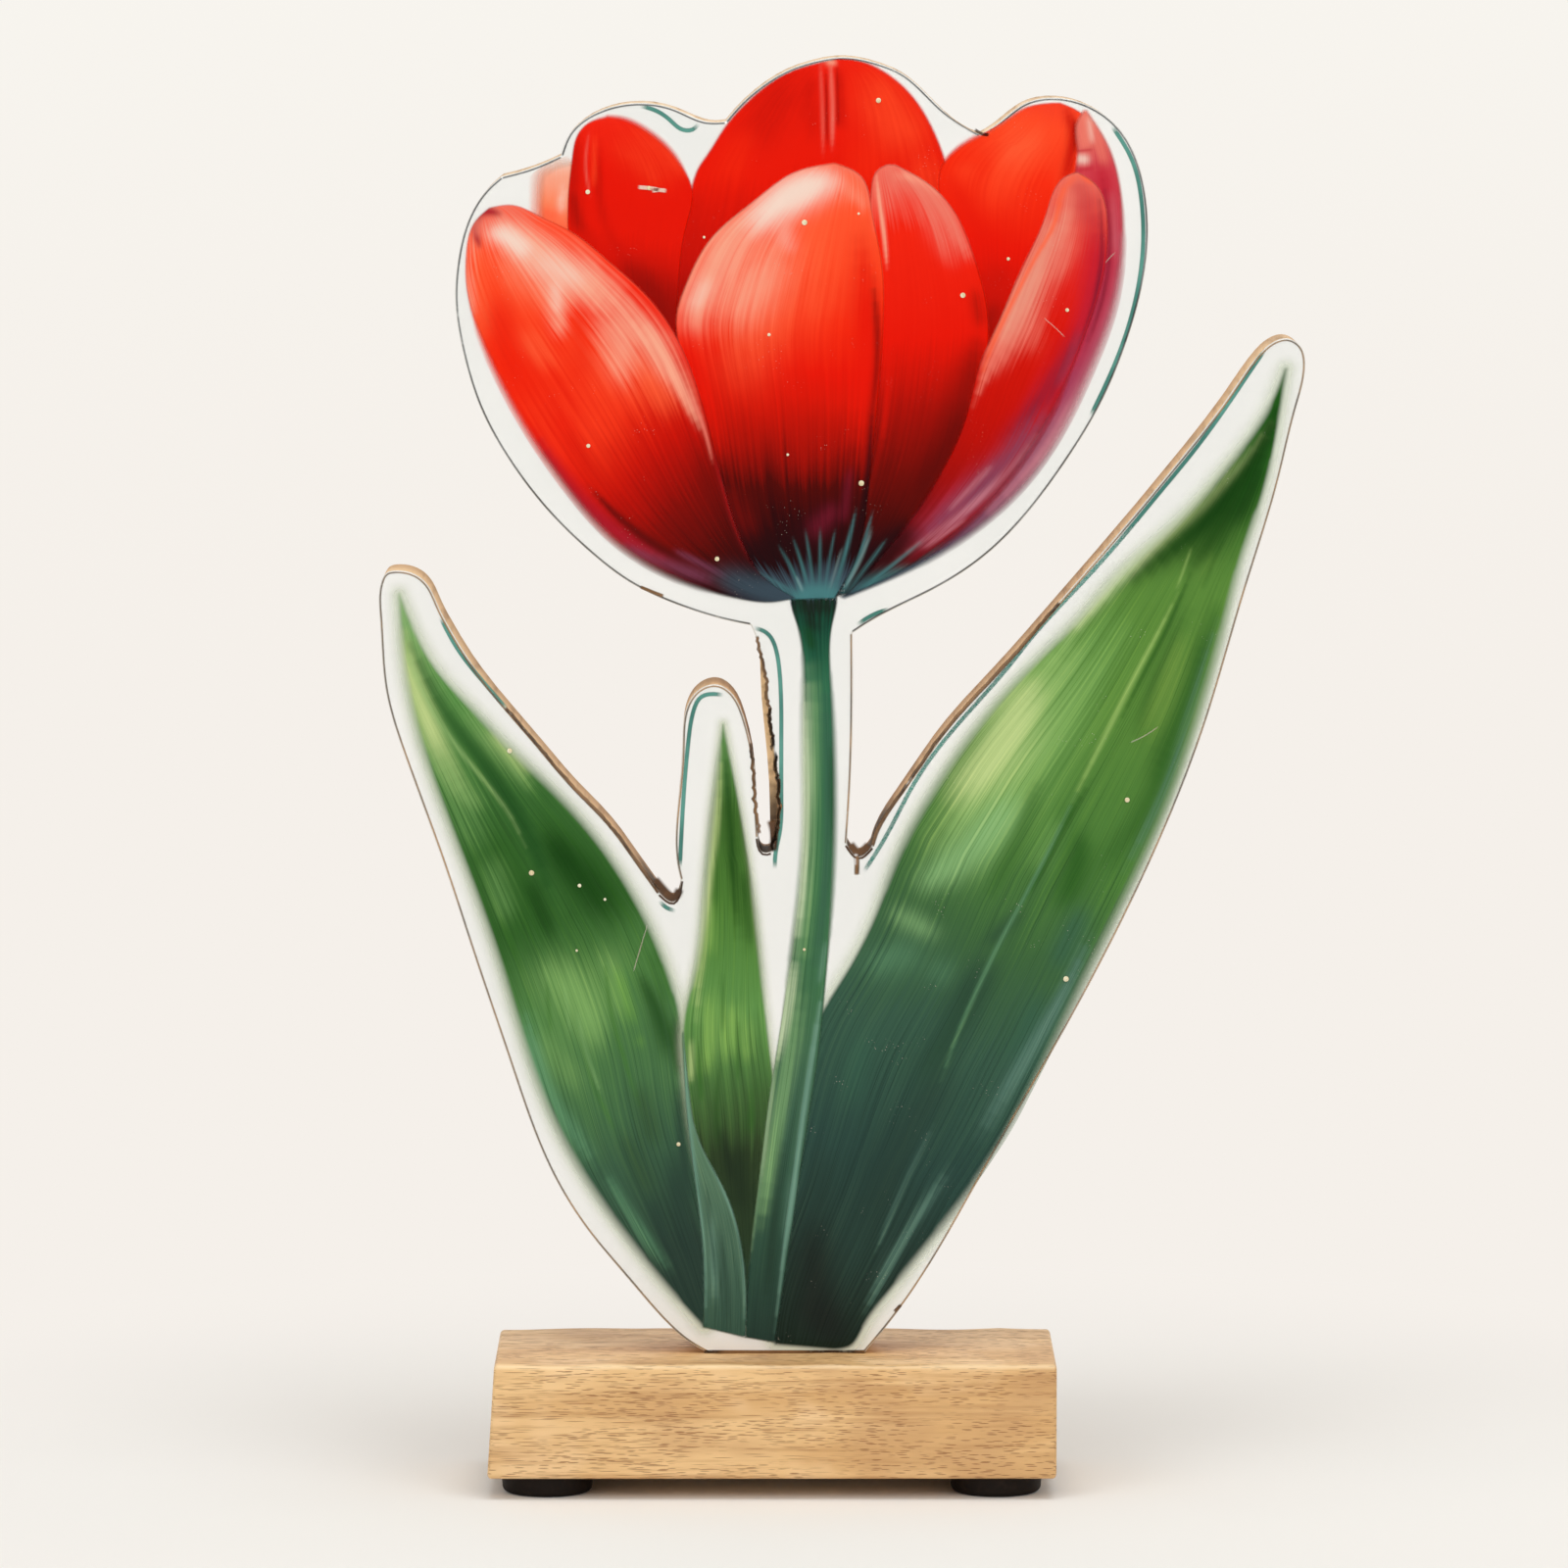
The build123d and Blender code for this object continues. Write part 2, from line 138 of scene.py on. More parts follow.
class Finish:
    """A material, made of nodes."""

    def __init__(self, name):
        self.material = bpy.data.materials.new(name)
        self.material.use_nodes = True
        self.tree = self.material.node_tree
        self.tree.nodes.clear()
        self.place = self.node("ShaderNodeTexCoord", output="Object")

    def node(self, kind, settings=(), sockets=(), output=0):
        """A node of a kind, with its settings and then the values or links of its sockets."""
        node = self.tree.nodes.new(kind)
        for key, value in dict(settings).items():
            if key == "stops":
                stops = node.color_ramp.elements
                for index, (position, colour) in enumerate(value):
                    stop = stops[index] if index < 2 else stops.new(position)
                    stop.position, stop.color = position, colour
            else:
                setattr(node, key, value)
        for key, value in dict(sockets).items():
            if isinstance(value, Number):
                self.tree.links.new(value.socket, node.inputs[key])
            else:
                node.inputs[key].default_value = value
        return Number(self, node.outputs[output]) if node.outputs else None

    def mix(self, amount, first, second, blend="MIX"):
        """The first colour, turned into the second by the amount."""
        settings = {"data_type": "RGBA", "blend_type": blend, "clamp_factor": True}
        return self.node("ShaderNodeMix", settings, {0: amount, 6: first, 7: second}, output=2)

    def ramp(self, amount, stops):
        return self.node("ShaderNodeValToRGB", {"stops": stops}, {0: amount})

    def stretched(self, scale, at=(0, 0, 0), base=None):
        """The place on the piece, scaled by itself along each axis."""
        sockets = {"Vector": base or self.place, "Scale": scale, "Location": at}
        return self.node("ShaderNodeMapping", {}, sockets)

    def noise(self, place, scale=1.0, detail=2.0, roughness=0.5, bend=0.0):
        sockets = {"Vector": place, "Scale": scale, "Detail": detail, "Roughness": roughness}
        return self.node("ShaderNodeTexNoise", {}, {**sockets, "Distortion": bend})

    def spots(self, place, scale=1.0, output="Distance"):
        """How far it is to the nearest of many scattered points."""
        return self.node("ShaderNodeTexVoronoi", {}, {"Vector": place, "Scale": scale}, output)

    def part(self, vector, axis):
        return self.node("ShaderNodeSeparateXYZ", {}, {0: vector}, output=axis)

    def mask(self, name):
        return self.node("ShaderNodeAttribute", {"attribute_name": name}, output="Fac")

    def bump(self, height, distance, strength=1.0):
        sockets = {"Height": height, "Distance": distance, "Strength": strength}
        return self.node("ShaderNodeBump", {}, sockets)

    def surface(self, **sockets):
        """The finished surface, with its sockets given by name."""
        named = {key.replace("_", " "): value for key, value in sockets.items()}
        shader = self.node("ShaderNodeBsdfPrincipled", {}, named)
        self.node("ShaderNodeOutputMaterial", {}, {"Surface": shader})
        return self.material


# Shapes

def on_face(spots):
    """Places on the face, in metres, from columns and rows of the photograph. The rows bow
    by 1.4% between foot and top, because the camera looks a little down."""
    spots = np.asarray(spots, float)
    up = (foot_row - spots[..., 1]) / face_rows
    up = up + row_bow * up * (1 - up)
    across = (spots[..., 0] - left_column) / face_columns
    return np.stack([face_low[0] + across * face_width, face_low[2] + up * face_height], -1)


def of_shares(thousandths):
    """Places on the face, in metres, from thousandths of its width and height."""
    shares = np.asarray(thousandths, float) / 1000
    return face_low[[0, 2]] + shares * [face_width, face_height]


def steps_along(line):
    """The distance from each point of a line to the next."""
    return np.linalg.norm(np.diff(line, axis=0), axis=1)


def smooth_line(points, count):
    """Evenly spaced points of the natural cubic through the given ones."""
    points = np.asarray(points, float)
    steps = steps_along(points)
    run = np.concatenate([[0], np.cumsum(steps)])
    inner = np.arange(1, len(points) - 1)
    system = np.eye(len(points))
    system[inner, inner - 1] = steps[:-1]
    system[inner, inner] = 2 * (steps[:-1] + steps[1:])
    system[inner, inner + 1] = steps[1:]
    slopes = np.diff(points, axis=0) / steps[:, None]
    bends = np.zeros_like(points)
    bends[1:-1] = 6 * np.diff(slopes, axis=0)
    bends = np.linalg.solve(system, bends)
    places = np.linspace(0, run[-1], count * 4)
    piece = np.clip(np.searchsorted(run, places, side="right") - 1, 0, len(steps) - 1)
    near, far = places - run[piece], run[piece + 1] - places
    step = steps[piece]
    near, far, step = near[:, None], far[:, None], step[:, None]
    line = (bends[piece] * far**3 + bends[piece + 1] * near**3) / (6 * step)
    line = line + (points[piece] / step - bends[piece] * step / 6) * far
    line = line + (points[piece + 1] / step - bends[piece + 1] * step / 6) * near
    length = np.concatenate([[0], np.cumsum(steps_along(line))])
    even = np.linspace(0, length[-1], count)
    return np.stack([np.interp(even, length, line[:, axis]) for axis in range(points.shape[1])], -1)


def away_from(places, line):
    """How far each place is from a line of straight runs."""
    start, end = line[:-1], line[1:]
    run = end - start
    square = np.maximum((run**2).sum(-1), 1e-18)
    best = np.full(len(places), np.inf)
    for first in range(0, len(start), 64):
        some = slice(first, first + 64)
        offset = places[:, None] - start[some]
        share = np.clip((offset * run[some]).sum(-1) / square[some], 0, 1)
        gap = offset - share[..., None] * run[some]
        best = np.minimum(best, np.sqrt((gap**2).sum(-1)).min(1))
    return best


def brushed(places, strokes):
    """How much strokes cover each place: one minus the product of what each leaves. A stroke
    is its strength and then its points, each a column and a row of the photograph and a width
    in its pixels. It covers its strength along its middle. That fades to a seventh at its ends
    with the fourth power, and falls off across with distance in widths, as a bell curve does."""
    bell_reach, end_fade, points_along = 2.6, 0.86, 16
    left_over = np.ones(len(places))
    for strength, *spots in strokes:
        spots = np.array(spots, float)
        line = np.concatenate([on_face(spots[:, :2]), spots[:, 2:] * pixel], 1)
        if len(line) > 1:
            line = smooth_line(line, points_along)
        reach = line[:, 2].max() * bell_reach
        low, high = line[:, :2].min(0) - reach, line[:, :2].max(0) + reach
        near = np.flatnonzero(((places > low) & (places < high)).all(1))
        offset = places[near, None] - line[None, :, :2]
        share = np.zeros(offset.shape[:2])
        if len(line) > 1:
            run = np.gradient(line[:, :2], axis=0)
            share = np.clip((offset * run).sum(-1) / ((run**2).sum(-1) + 1e-18), -0.5, 0.5)
            offset = offset - share[..., None] * run
        gap = np.sqrt((offset**2).sum(-1)) / line[:, 2]
        fade = 1 - end_fade * np.linspace(-1, 1, len(line)) ** 4 if len(line) > 1 else 1
        left_over[near] *= 1 - strength * (fade * np.exp(-gap**2)).max(1)
    return 1 - left_over


def inside(places, loop):
    """Whether each place lies inside a closed loop: a ray to the right crosses it oddly."""
    start, end = loop, np.roll(loop, -1, axis=0)
    crossings = np.zeros(len(places), int)
    for first in range(0, len(start), 64):
        a, b = start[first:first + 64], end[first:first + 64]
        spans = (a[:, 1] > places[:, None, 1]) != (b[:, 1] > places[:, None, 1])
        rise = np.where(b[:, 1] == a[:, 1], 1e-12, b[:, 1] - a[:, 1])
        hit = a[:, 0] + (places[:, None, 1] - a[:, 1]) * (b[:, 0] - a[:, 0]) / rise
        crossings += (spans & (places[:, None, 0] < hit)).sum(1)
    return crossings % 2 == 1


def woven(rows, columns, closed):
    """The corners of the faces of a grid of points, four to a face."""
    number = np.arange(rows * columns).reshape(rows, columns)
    if closed:
        number = np.concatenate([number, number[:, :1]], 1)
    return np.stack([number[:-1, :-1], number[:-1, 1:], number[1:, 1:], number[1:, :-1]], -1)


def grid_piece(name, grids, material, masks=(), closed=False, joined=False):
    """A piece from grids of points, rows by columns, with a face between each four points.
    As seen from outside, columns run to the right and rows up. A closed grid joins its last
    column to its first, and points in the same place are joined on request."""
    mesh = bpy.data.meshes.new(name)
    firsts = np.cumsum([0] + [grid.shape[0] * grid.shape[1] for grid in grids])
    faces = [
        woven(*grid.shape[:2], closed).reshape(-1, 4) + first for grid, first in zip(grids, firsts)
    ]
    points = np.concatenate([grid.reshape(-1, 3) for grid in grids])
    mesh.from_pydata(points, [], np.concatenate(faces))
    for mask, values in dict(masks).items():
        attribute = mesh.attributes.new(mask, "FLOAT", "POINT")
        attribute.data.foreach_set("value", np.asarray(values, np.float32).ravel())
    layer = mesh.uv_layers.new(name="UVMap")
    corners = np.empty(len(mesh.loops), np.int32)
    mesh.loops.foreach_get("vertex_index", corners)
    shares = []
    for grid in grids:
        shares_each_way = (np.linspace(0, 1, size) for size in grid.shape[:2])
        up, across = np.meshgrid(*shares_each_way, indexing="ij")
        shares.append(np.stack([across, up], -1).reshape(-1, 2))
    places = np.concatenate(shares)[corners]
    layer.data.foreach_set("uv", places.astype(np.float32).ravel())
    if joined:
        solid = bmesh.new()
        solid.from_mesh(mesh)
        bmesh.ops.remove_doubles(solid, verts=solid.verts, dist=1e-7)
        bmesh.ops.recalc_face_normals(solid, faces=solid.faces)
        solid.to_mesh(mesh)
        solid.free()
    mesh.polygons.foreach_set("use_smooth", np.ones(len(mesh.polygons), bool))
    mesh.update()
    piece = bpy.data.objects.new(name, mesh)
    bpy.context.scene.collection.objects.link(piece)
    mesh.materials.append(material)
    return piece


def outward(line, side):
    """The direction square to a line at each point, to its left for 1, its right for -1."""
    run = np.gradient(line, axis=0)
    run /= np.linalg.norm(run, axis=1)[:, None] + 1e-12
    return side * np.stack([-run[:, 1], run[:, 0]], -1)


def at_depth(flat, depth):
    """Places on the face, set in front of it by a depth."""
    return np.stack([flat[..., 0], np.full(flat.shape[:-1], face_front - depth), flat[..., 1]], -1)


def at_layer(flat, layer):
    """Places on the face, set in front of it by a number of thin layers, from 0."""
    return at_depth(flat, (layer + 1) * layer_step)


def printed_area(name, layer, left, right, along, paints, blurs=(), margin=4, **look):
    """A printed petal or leaf: a flat grid ruled between its left and right edges, both from
    foot to tip, and widened by a margin that keeps off the plaque's edge. The mask "edge" is
    how far inside the outline a point lies, in millimetres, and "blur" is where the outline
    is soft. A paint is its colour, how unevenly the veins take it, and its strokes, which
    make its mask. Lengths are photograph pixels."""
    left, right = of_shares(left), of_shares(right)
    length = max(steps_along(side).sum() for side in (left, right))
    cell, edge_room, end_power = 2.2 * pixel, 0.0005, 24
    rows = int(length / cell) + 2
    left, right = smooth_line(left, rows), smooth_line(right, rows)
    widest = np.linalg.norm(left - right, axis=1).max() + 2 * margin * pixel
    columns = int(widest / cell) + 2
    outline = np.concatenate([left[::2], left[-1:], right[-1:], right[::-2], right[:1]])
    tip = np.linspace(0, 1, rows)[:, None] ** end_power
    foot = np.linspace(1, 0, rows)[:, None] ** end_power
    up = left[-1] + right[-1] - left[-4] - right[-4]
    down = left[0] + right[0] - left[3] - right[3]
    wide = []
    for side, line in ((1, left), (-1, right)):
        room = away_from(line, plaque_loop) - edge_room
        room = np.clip(room, 0, margin * pixel)[:, None]
        shift = outward(line, side)
        shift = shift + tip * up / np.linalg.norm(up) + foot * down / np.linalg.norm(down)
        wide.append(line + shift * room)
    across = np.linspace(0, 1, columns)[None, :, None]
    flat = wide[0][:, None] * (1 - across) + wide[1][:, None] * across
    places = flat.reshape(-1, 2)
    gap = away_from(places, np.concatenate([outline, outline[:1]])) * 1000
    masks = {"edge": np.where(inside(places, outline), gap, -gap), "blur": brushed(places, blurs)}
    for index, (colour, brush, *strokes) in enumerate(paints):
        masks[f"paint_{index}"] = brushed(places, strokes)
    finish = printed_paint(f"{name}_print", along, [paint[:2] for paint in paints], **look)
    piece = grid_piece(name, [at_layer(flat, layer)], finish, masks)
    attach(piece, "root")
    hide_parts(f"print_{name}")


def printed_lines(name, lines, width, layer, material, inward=0.0):
    """Lines on the face, each a ribbon of a width that follows a smooth curve. The mask
    "edge" is how far inside the ribbon a point lies, and "end" how far from its nearer end,
    both in millimetres. The ribbon may be moved to its left. Lengths are photograph pixels."""
    grids, edges, ends_of = [], [], []
    for line in lines:
        line = smooth_line(line, max(int(steps_along(line).sum() / (3 * pixel)), 6))
        line = line + outward(line, 1) * inward * pixel
        across = np.linspace(-1, 1, 7)[None, :]
        flat = line[:, None] - across[..., None] * outward(line, 1)[:, None] * width / 2 * pixel
        grids.append(at_layer(flat, layer))
        far = np.linspace(0, 1, len(line))[:, None] + across * 0
        span = steps_along(line).sum() * 1000
        edge = (1 - np.abs(across)) * width / 2 * pixel * 1000
        edges.append((edge + far * 0).ravel())
        ends_of.append((np.minimum(far, 1 - far) * span).ravel())
    masks = {"edge": np.concatenate(edges), "end": np.concatenate(ends_of)}
    piece = grid_piece(name, grids, material, masks)
    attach(piece, "root")
    return piece


# The outline of the plaque and its saw line, in thousandths of the face's width and height

foot_line = [(354, 0), (526, 0)]
right_leaf_edge = [
    (526, 0), (558, 28), (654, 140), (757, 270), (832, 377), (895, 491), (937, 593), (972, 677),
    (991, 733), (1000, 764), (995, 779), (981, 785), (965, 782), (948, 771), (921, 744), (863, 690),
    (799, 635), (736, 583), (672, 531), (608, 480), (566, 437), (537, 403), (533, 394),
]
right_notch = [(533, 394), (519, 386), (506, 396)]
neck_right = [(506, 396), (510, 441), (512, 559)]
flower_right_edge = [
    (512, 559), (534, 569), (598, 592), (661, 622), (704, 654), (746, 695), (778, 733), (807, 782),
    (821, 816), (829, 850), (828, 891), (818, 921), (799, 945), (762, 964), (730, 969), (698, 965),
    (667, 949), (649, 941),
]
flower_top_lobe = [
    (649, 941), (608, 960), (566, 987), (540, 995), (499, 1000), (471, 997), (439, 989), (412, 977),
    (391, 964), (375, 951),
]
flower_left_lobe = [
    (375, 951), (354, 951), (322, 960), (280, 965), (237, 958), (208, 942), (198, 925),
]
flower_step = [(198, 925), (169, 916), (134, 909)]
flower_left_edge = [
    (134, 909), (121, 901), (100, 879), (87, 846), (84, 812), (91, 778), (110, 733), (142, 691),
    (184, 652), (227, 622), (269, 599), (333, 578), (375, 569), (402, 565),
]
neck_left = [(407, 557), (416, 533), (421, 502), (429, 457), (431, 411), (424, 390)]
small_notch = [(424, 390), (417, 389), (410, 401)]
small_leaf_edge = [
    (410, 401), (408, 426), (405, 461), (394, 495), (383, 511), (366, 519), (346, 515), (333, 502),
    (328, 472), (324, 434), (322, 381), (326, 368),
]
left_notch = [(326, 368), (317, 351), (303, 358)]
left_leaf_edge = [
    (303, 358), (280, 381), (249, 411), (209, 441), (172, 472), (136, 502), (102, 533), (76, 563),
    (65, 578), (49, 599), (36, 605), (20, 607), (8, 605), (3, 599), (1, 571), (7, 515), (26, 467),
    (69, 381), (100, 313), (142, 223), (184, 143), (227, 93), (269, 57), (312, 22), (333, 9),
    (354, 0),
]
plaque_edges = [
    foot_line, right_leaf_edge, right_notch, neck_right, flower_right_edge, flower_top_lobe,
    flower_left_lobe, flower_step, flower_left_edge, neck_left, small_notch, small_leaf_edge,
    left_notch, left_leaf_edge,
]
plaque_loop = np.concatenate([smooth_line(of_shares(edge), 60)[:-1] for edge in plaque_edges])
plaque_loop = np.concatenate([plaque_loop, plaque_loop[:1]])

saw_line = [
    [(282, 963), (301, 959), (317, 951), (328, 945), (340, 945), (347, 950)],
    [(790, 948), (812, 922), (823, 888), (824, 850), (815, 810), (797, 770), (768, 725)],
    [(404, 563), (411, 562), (421, 558), (429, 547), (433, 530), (435, 480), (435, 430), (433, 404),
     (429, 390), (428, 376)],
    [(553, 578), (534, 573), (516, 565)],
    [(957, 777), (949, 769), (931, 750), (912, 730), (879, 698), (841, 665), (798, 628), (751, 591),
     (705, 555), (684, 536), (608, 473), (575, 438), (550, 404), (534, 385), (524, 374)],
    [(66, 572), (84, 548), (112, 522), (140, 499)],
    [(325, 377), (330, 441), (335, 479), (340, 499), (349, 510), (360, 512), (374, 511)],
    [(302, 353), (310, 347), (322, 344)],
]


# Printed petals and leaves

def printed_paint(name, along, paints, streak=0.12, fine=0.1, soft=0.35, blur=1.6,
                  threads=46, dust=0.0, seed=0.0, glow=None, glow_reach=4.5):
    """Print under a clear coat. A ramp runs from foot to tip, wavering a little along the
    veins. Each paint then covers its own mask, more on some veins than on others."""
    finish = Finish(name)
    spread = finish.node("ShaderNodeUVMap", {"uv_map": "UVMap"})
    veins = finish.noise(
        finish.stretched((threads, 2.2, 1), (seed, seed, 0), base=spread), detail=4
    )
    hairs = finish.noise(
        finish.stretched((threads * 4, 5, 1), (seed, 3, 0), base=spread), detail=3, roughness=0.6
    )
    cloud = finish.noise(finish.stretched((3.4, 4.2, 1), (seed, 7, 0), base=spread), detail=3)
    waver = (veins - 0.5) * streak + (cloud - 0.5) * 0.08
    colour = finish.ramp(finish.part(spread, 1) + waver, along)
    loose = (veins - 0.5) * 5.4 + (hairs - 0.5) * 2 + (cloud - 0.5) * 7
    for index, (paint, brush) in enumerate(paints):
        cover = finish.mask(f"paint_{index}")
        cover = cover + loose * cover * (1 - cover) * brush
        colour = finish.mix(cover, colour, paint)
    light = (hairs - 0.5) * fine * 2 + (veins - 0.5) * fine
    colour = finish.mix(light.rise(0.0, 0.25) * 0.5, colour, tone(255, 236, 214), "SOFT_LIGHT")
    colour = finish.mix((0 - light).rise(0.0, 0.25) * 0.5, colour, tone(20, 0, 8), "SOFT_LIGHT")
    if dust:
        grains = finish.spots(finish.place, 1500)
        kept = finish.noise(finish.place, 120, detail=1)
        speck = (0.15 - grains).rise(0.0, 0.06) * kept.rise(0.6, 0.7) * dust
        colour = finish.mix(speck, colour, tone(196, 186, 172))
    border = finish.mask("edge")
    reach = finish.mask("blur") * blur + soft
    opaque = border.rise(0 - reach, reach)
    if glow:
        fringe = border.rise(-glow_reach, 1.0)
        colour = finish.mix(opaque, glow, colour)
        opaque = opaque.largest(fringe * fringe * 0.8)
    waves = finish.noise(finish.place, 42, detail=1)
    return finish.surface(
        Base_Color=colour, Roughness=0.16, Coat_Weight=0.05, Coat_Roughness=0.05,
        Specular_IOR_Level=0.05, Alpha=opaque, Normal=finish.bump(waves, 0.0002, 0.25),
    )


# The petals

printed_area(
    "petal_front_left", 6,
    [(449, 586), (428, 583), (386, 586), (312, 603), (253, 630), (206, 667), (163, 711), (126, 760),
     (102, 805), (96, 827), (96, 850), (105, 874), (119, 884)],
    [(450, 586), (412, 605), (391, 631), (370, 680), (352, 729), (322, 786), (290, 818), (248, 845),
     (206, 868), (174, 879), (147, 887), (121, 885)],
    [(0.0, slate), (0.1, soot), (0.19, maroon), (0.3, blood_red), (0.41, deep_red), (0.53, scarlet),
     (0.7, bright_red), (0.88, flame), (1.0, rose)],
    [(flame, 0.6, (0.6, (535, 300, 34), (580, 340, 36), (650, 400, 30)),
      (0.5, (500, 262, 14), (512, 300, 16)), (0.4, (560, 420, 40), (620, 440, 40))),
     (orange, 0.7, (0.75, (510, 262, 18), (545, 292, 20), (575, 306, 16)),
      (0.6, (612, 350, 22), (650, 378, 24), (690, 412, 14)), (0.4, (538, 345, 14), (560, 370, 12)),
      (0.6, (487, 240, 8), (488, 290, 11), (496, 340, 10))),
     (peach, 0.9, (0.95, (506, 236, 14), (545, 262, 22), (590, 288, 22), (632, 314, 18)),
      (0.8, (640, 322, 16), (668, 354, 15), (692, 390, 9), (716, 440, 3)),
      (0.65, (562, 284, 11), (570, 312, 11), (571, 340, 8)),
      (0.6, (612, 330, 14), (628, 356, 16), (640, 384, 12)), (0.5, (630, 330, 12), (640, 366, 10)),
      (0.5, (482, 236, 6), (480, 280, 6), (484, 320, 5))),
     (cream, 0.5, (0.9, (504, 238, 8), (520, 244, 10), (536, 258, 9)),
      (0.45, (552, 268, 14), (590, 286, 12)), (0.4, (566, 292, 7), (570, 316, 6))),
     (scarlet, 0.8, (0.4, (588, 318, 9), (592, 345, 11), (596, 380, 14)),
      (0.6, (508, 310, 12), (514, 350, 16), (530, 390, 18))),
     (tone(168, 22, 40), 0.3, (0.95, (479, 230, 5), (487, 220, 6), (498, 217, 5), (510, 219, 3.5)),
      (0.9, (487, 222, 4.5), (486, 236, 4), (490, 252, 3)),
      (0.85, (548, 446, 5), (568, 482, 8), (596, 518, 10), (636, 548, 8), (680, 572, 5))),
     (rose, 0.4, (0.6, (486, 226, 6), (488, 240, 5)), (0.3, (556, 474, 4), (576, 502, 5))),
     (maroon, 0.5, (0.7, (604, 500, 3), (632, 528, 4), (668, 556, 5), (712, 580, 5))),
     (plum, 0.4, (0.55, (636, 556, 5), (676, 574, 6), (724, 592, 7)),
      (0.45, (690, 562, 3), (740, 588, 4))),
     (slate, 0.5, (0.75, (736, 588, 12), (770, 600, 13), (806, 604, 10))),
     (tone(156, 20, 22), 0.2, (0.7, (728, 460, 3), (740, 505, 3.5), (756, 548, 4), (778, 584, 3))),
     (rose, 0.1, (0.75, (702, 400, 2.5), (716, 432, 2), (726, 470, 1.5)))],
    blurs=[(1, (482, 340, 20), (520, 425, 24), (575, 505, 24), (640, 560, 24), (720, 598, 20))],
    dust=0.5, seed=1.3,
)

printed_area(
    "petal_front_centre", 5,
    [(440, 585), (390, 620), (340, 740), (325, 780), (322, 799), (333, 827), (359, 861), (407, 891),
     (449, 912), (491, 919)],
    [(492, 586), (513, 612), (529, 669), (540, 744), (545, 805), (543, 842), (532, 884), (521, 909),
     (493, 919)],
    [(0.0, petal_teal), (0.05, slate), (0.1, soot), (0.18, tone(46, 0, 2)), (0.26, tone(80, 3, 0)),
     (0.35, tone(170, 12, 0)), (0.44, tone(216, 18, 0)), (0.5, scarlet), (0.6, bright_red),
     (0.72, flame), (1.0, orange)],
    [(orange, 0.5, (0.6, (820, 220, 40), (790, 290, 44), (770, 340, 30)),
      (0.4, (740, 320, 26), (760, 370, 30))),
     (peach, 0.7, (0.85, (770, 224, 22), (740, 256, 26), (722, 292, 22), (708, 326, 14)),
      (0.5, (790, 262, 24), (766, 300, 24), (740, 330, 20)), (0.5, (862, 190, 14), (880, 210, 8))),
     (cream, 0.35, (1, (848, 186, 13), (818, 194, 18), (792, 210, 18), (770, 230, 14)),
      (0.6, (826, 192, 12), (802, 206, 13)), (0.25, (800, 240, 12), (806, 254, 7)),
      (0.3, (720, 290, 10), (708, 312, 8))),
     (scarlet, 0.6, (0.75, (876, 240, 10), (882, 300, 16), (884, 380, 18), (876, 450, 14)),
      (0.6, (700, 360, 10), (716, 410, 14), (730, 460, 12))),
     (rose, 0.2, (0.6, (850, 171, 4), (874, 178, 5), (887, 200, 4), (892, 238, 3))),
     (blood_red, 0.4, (0.7, (890, 290, 3), (894, 360, 4), (888, 430, 5), (882, 490, 5)),
      (0.4, (744, 500, 12), (760, 540, 14))),
     (soot, 0.4, (0.8, (889, 420, 2.5), (885, 480, 3), (878, 530, 5), (868, 566, 4)),
      (0.5, (780, 560, 16), (820, 556, 16))),
     (wine, 0.4, (0.5, (830, 540, 12), (850, 520, 9)), (0.4, (866, 480, 5), (860, 530, 5))),
     (petal_teal, 0.6, (0.85, (812, 610, 7), (832, 603, 9), (852, 608, 7)),
      (0.5, (818, 604, 2.2), (808, 582, 1.8), (795, 558, 1.2)),
      (0.6, (824, 600, 2.2), (818, 578, 1.7), (809, 550, 1.1)),
      (0.5, (829, 600, 2.2), (826, 574, 1.7), (821, 542, 1.1)),
      (0.45, (835, 600, 2.1), (836, 572, 1.7), (836, 540, 1.1)),
      (0.5, (841, 600, 2.2), (845, 574, 1.7), (851, 542, 1.1)),
      (0.65, (850, 604, 3.2), (857, 580, 2.6), (865, 552, 2), (872, 522, 1.2)),
      (0.4, (812, 606, 2.4), (792, 594, 2), (762, 578, 1.3)),
      (0.35, (808, 610, 3), (780, 602, 3), (744, 592, 2))),
     (tone(136, 168, 168), 0.4, (0.35, (846, 600, 2), (852, 580, 1.6), (858, 560, 1.2)),
      (0.4, (818, 602, 1.6), (812, 588, 1.3)))],
    dust=0.7, seed=4.1,
)

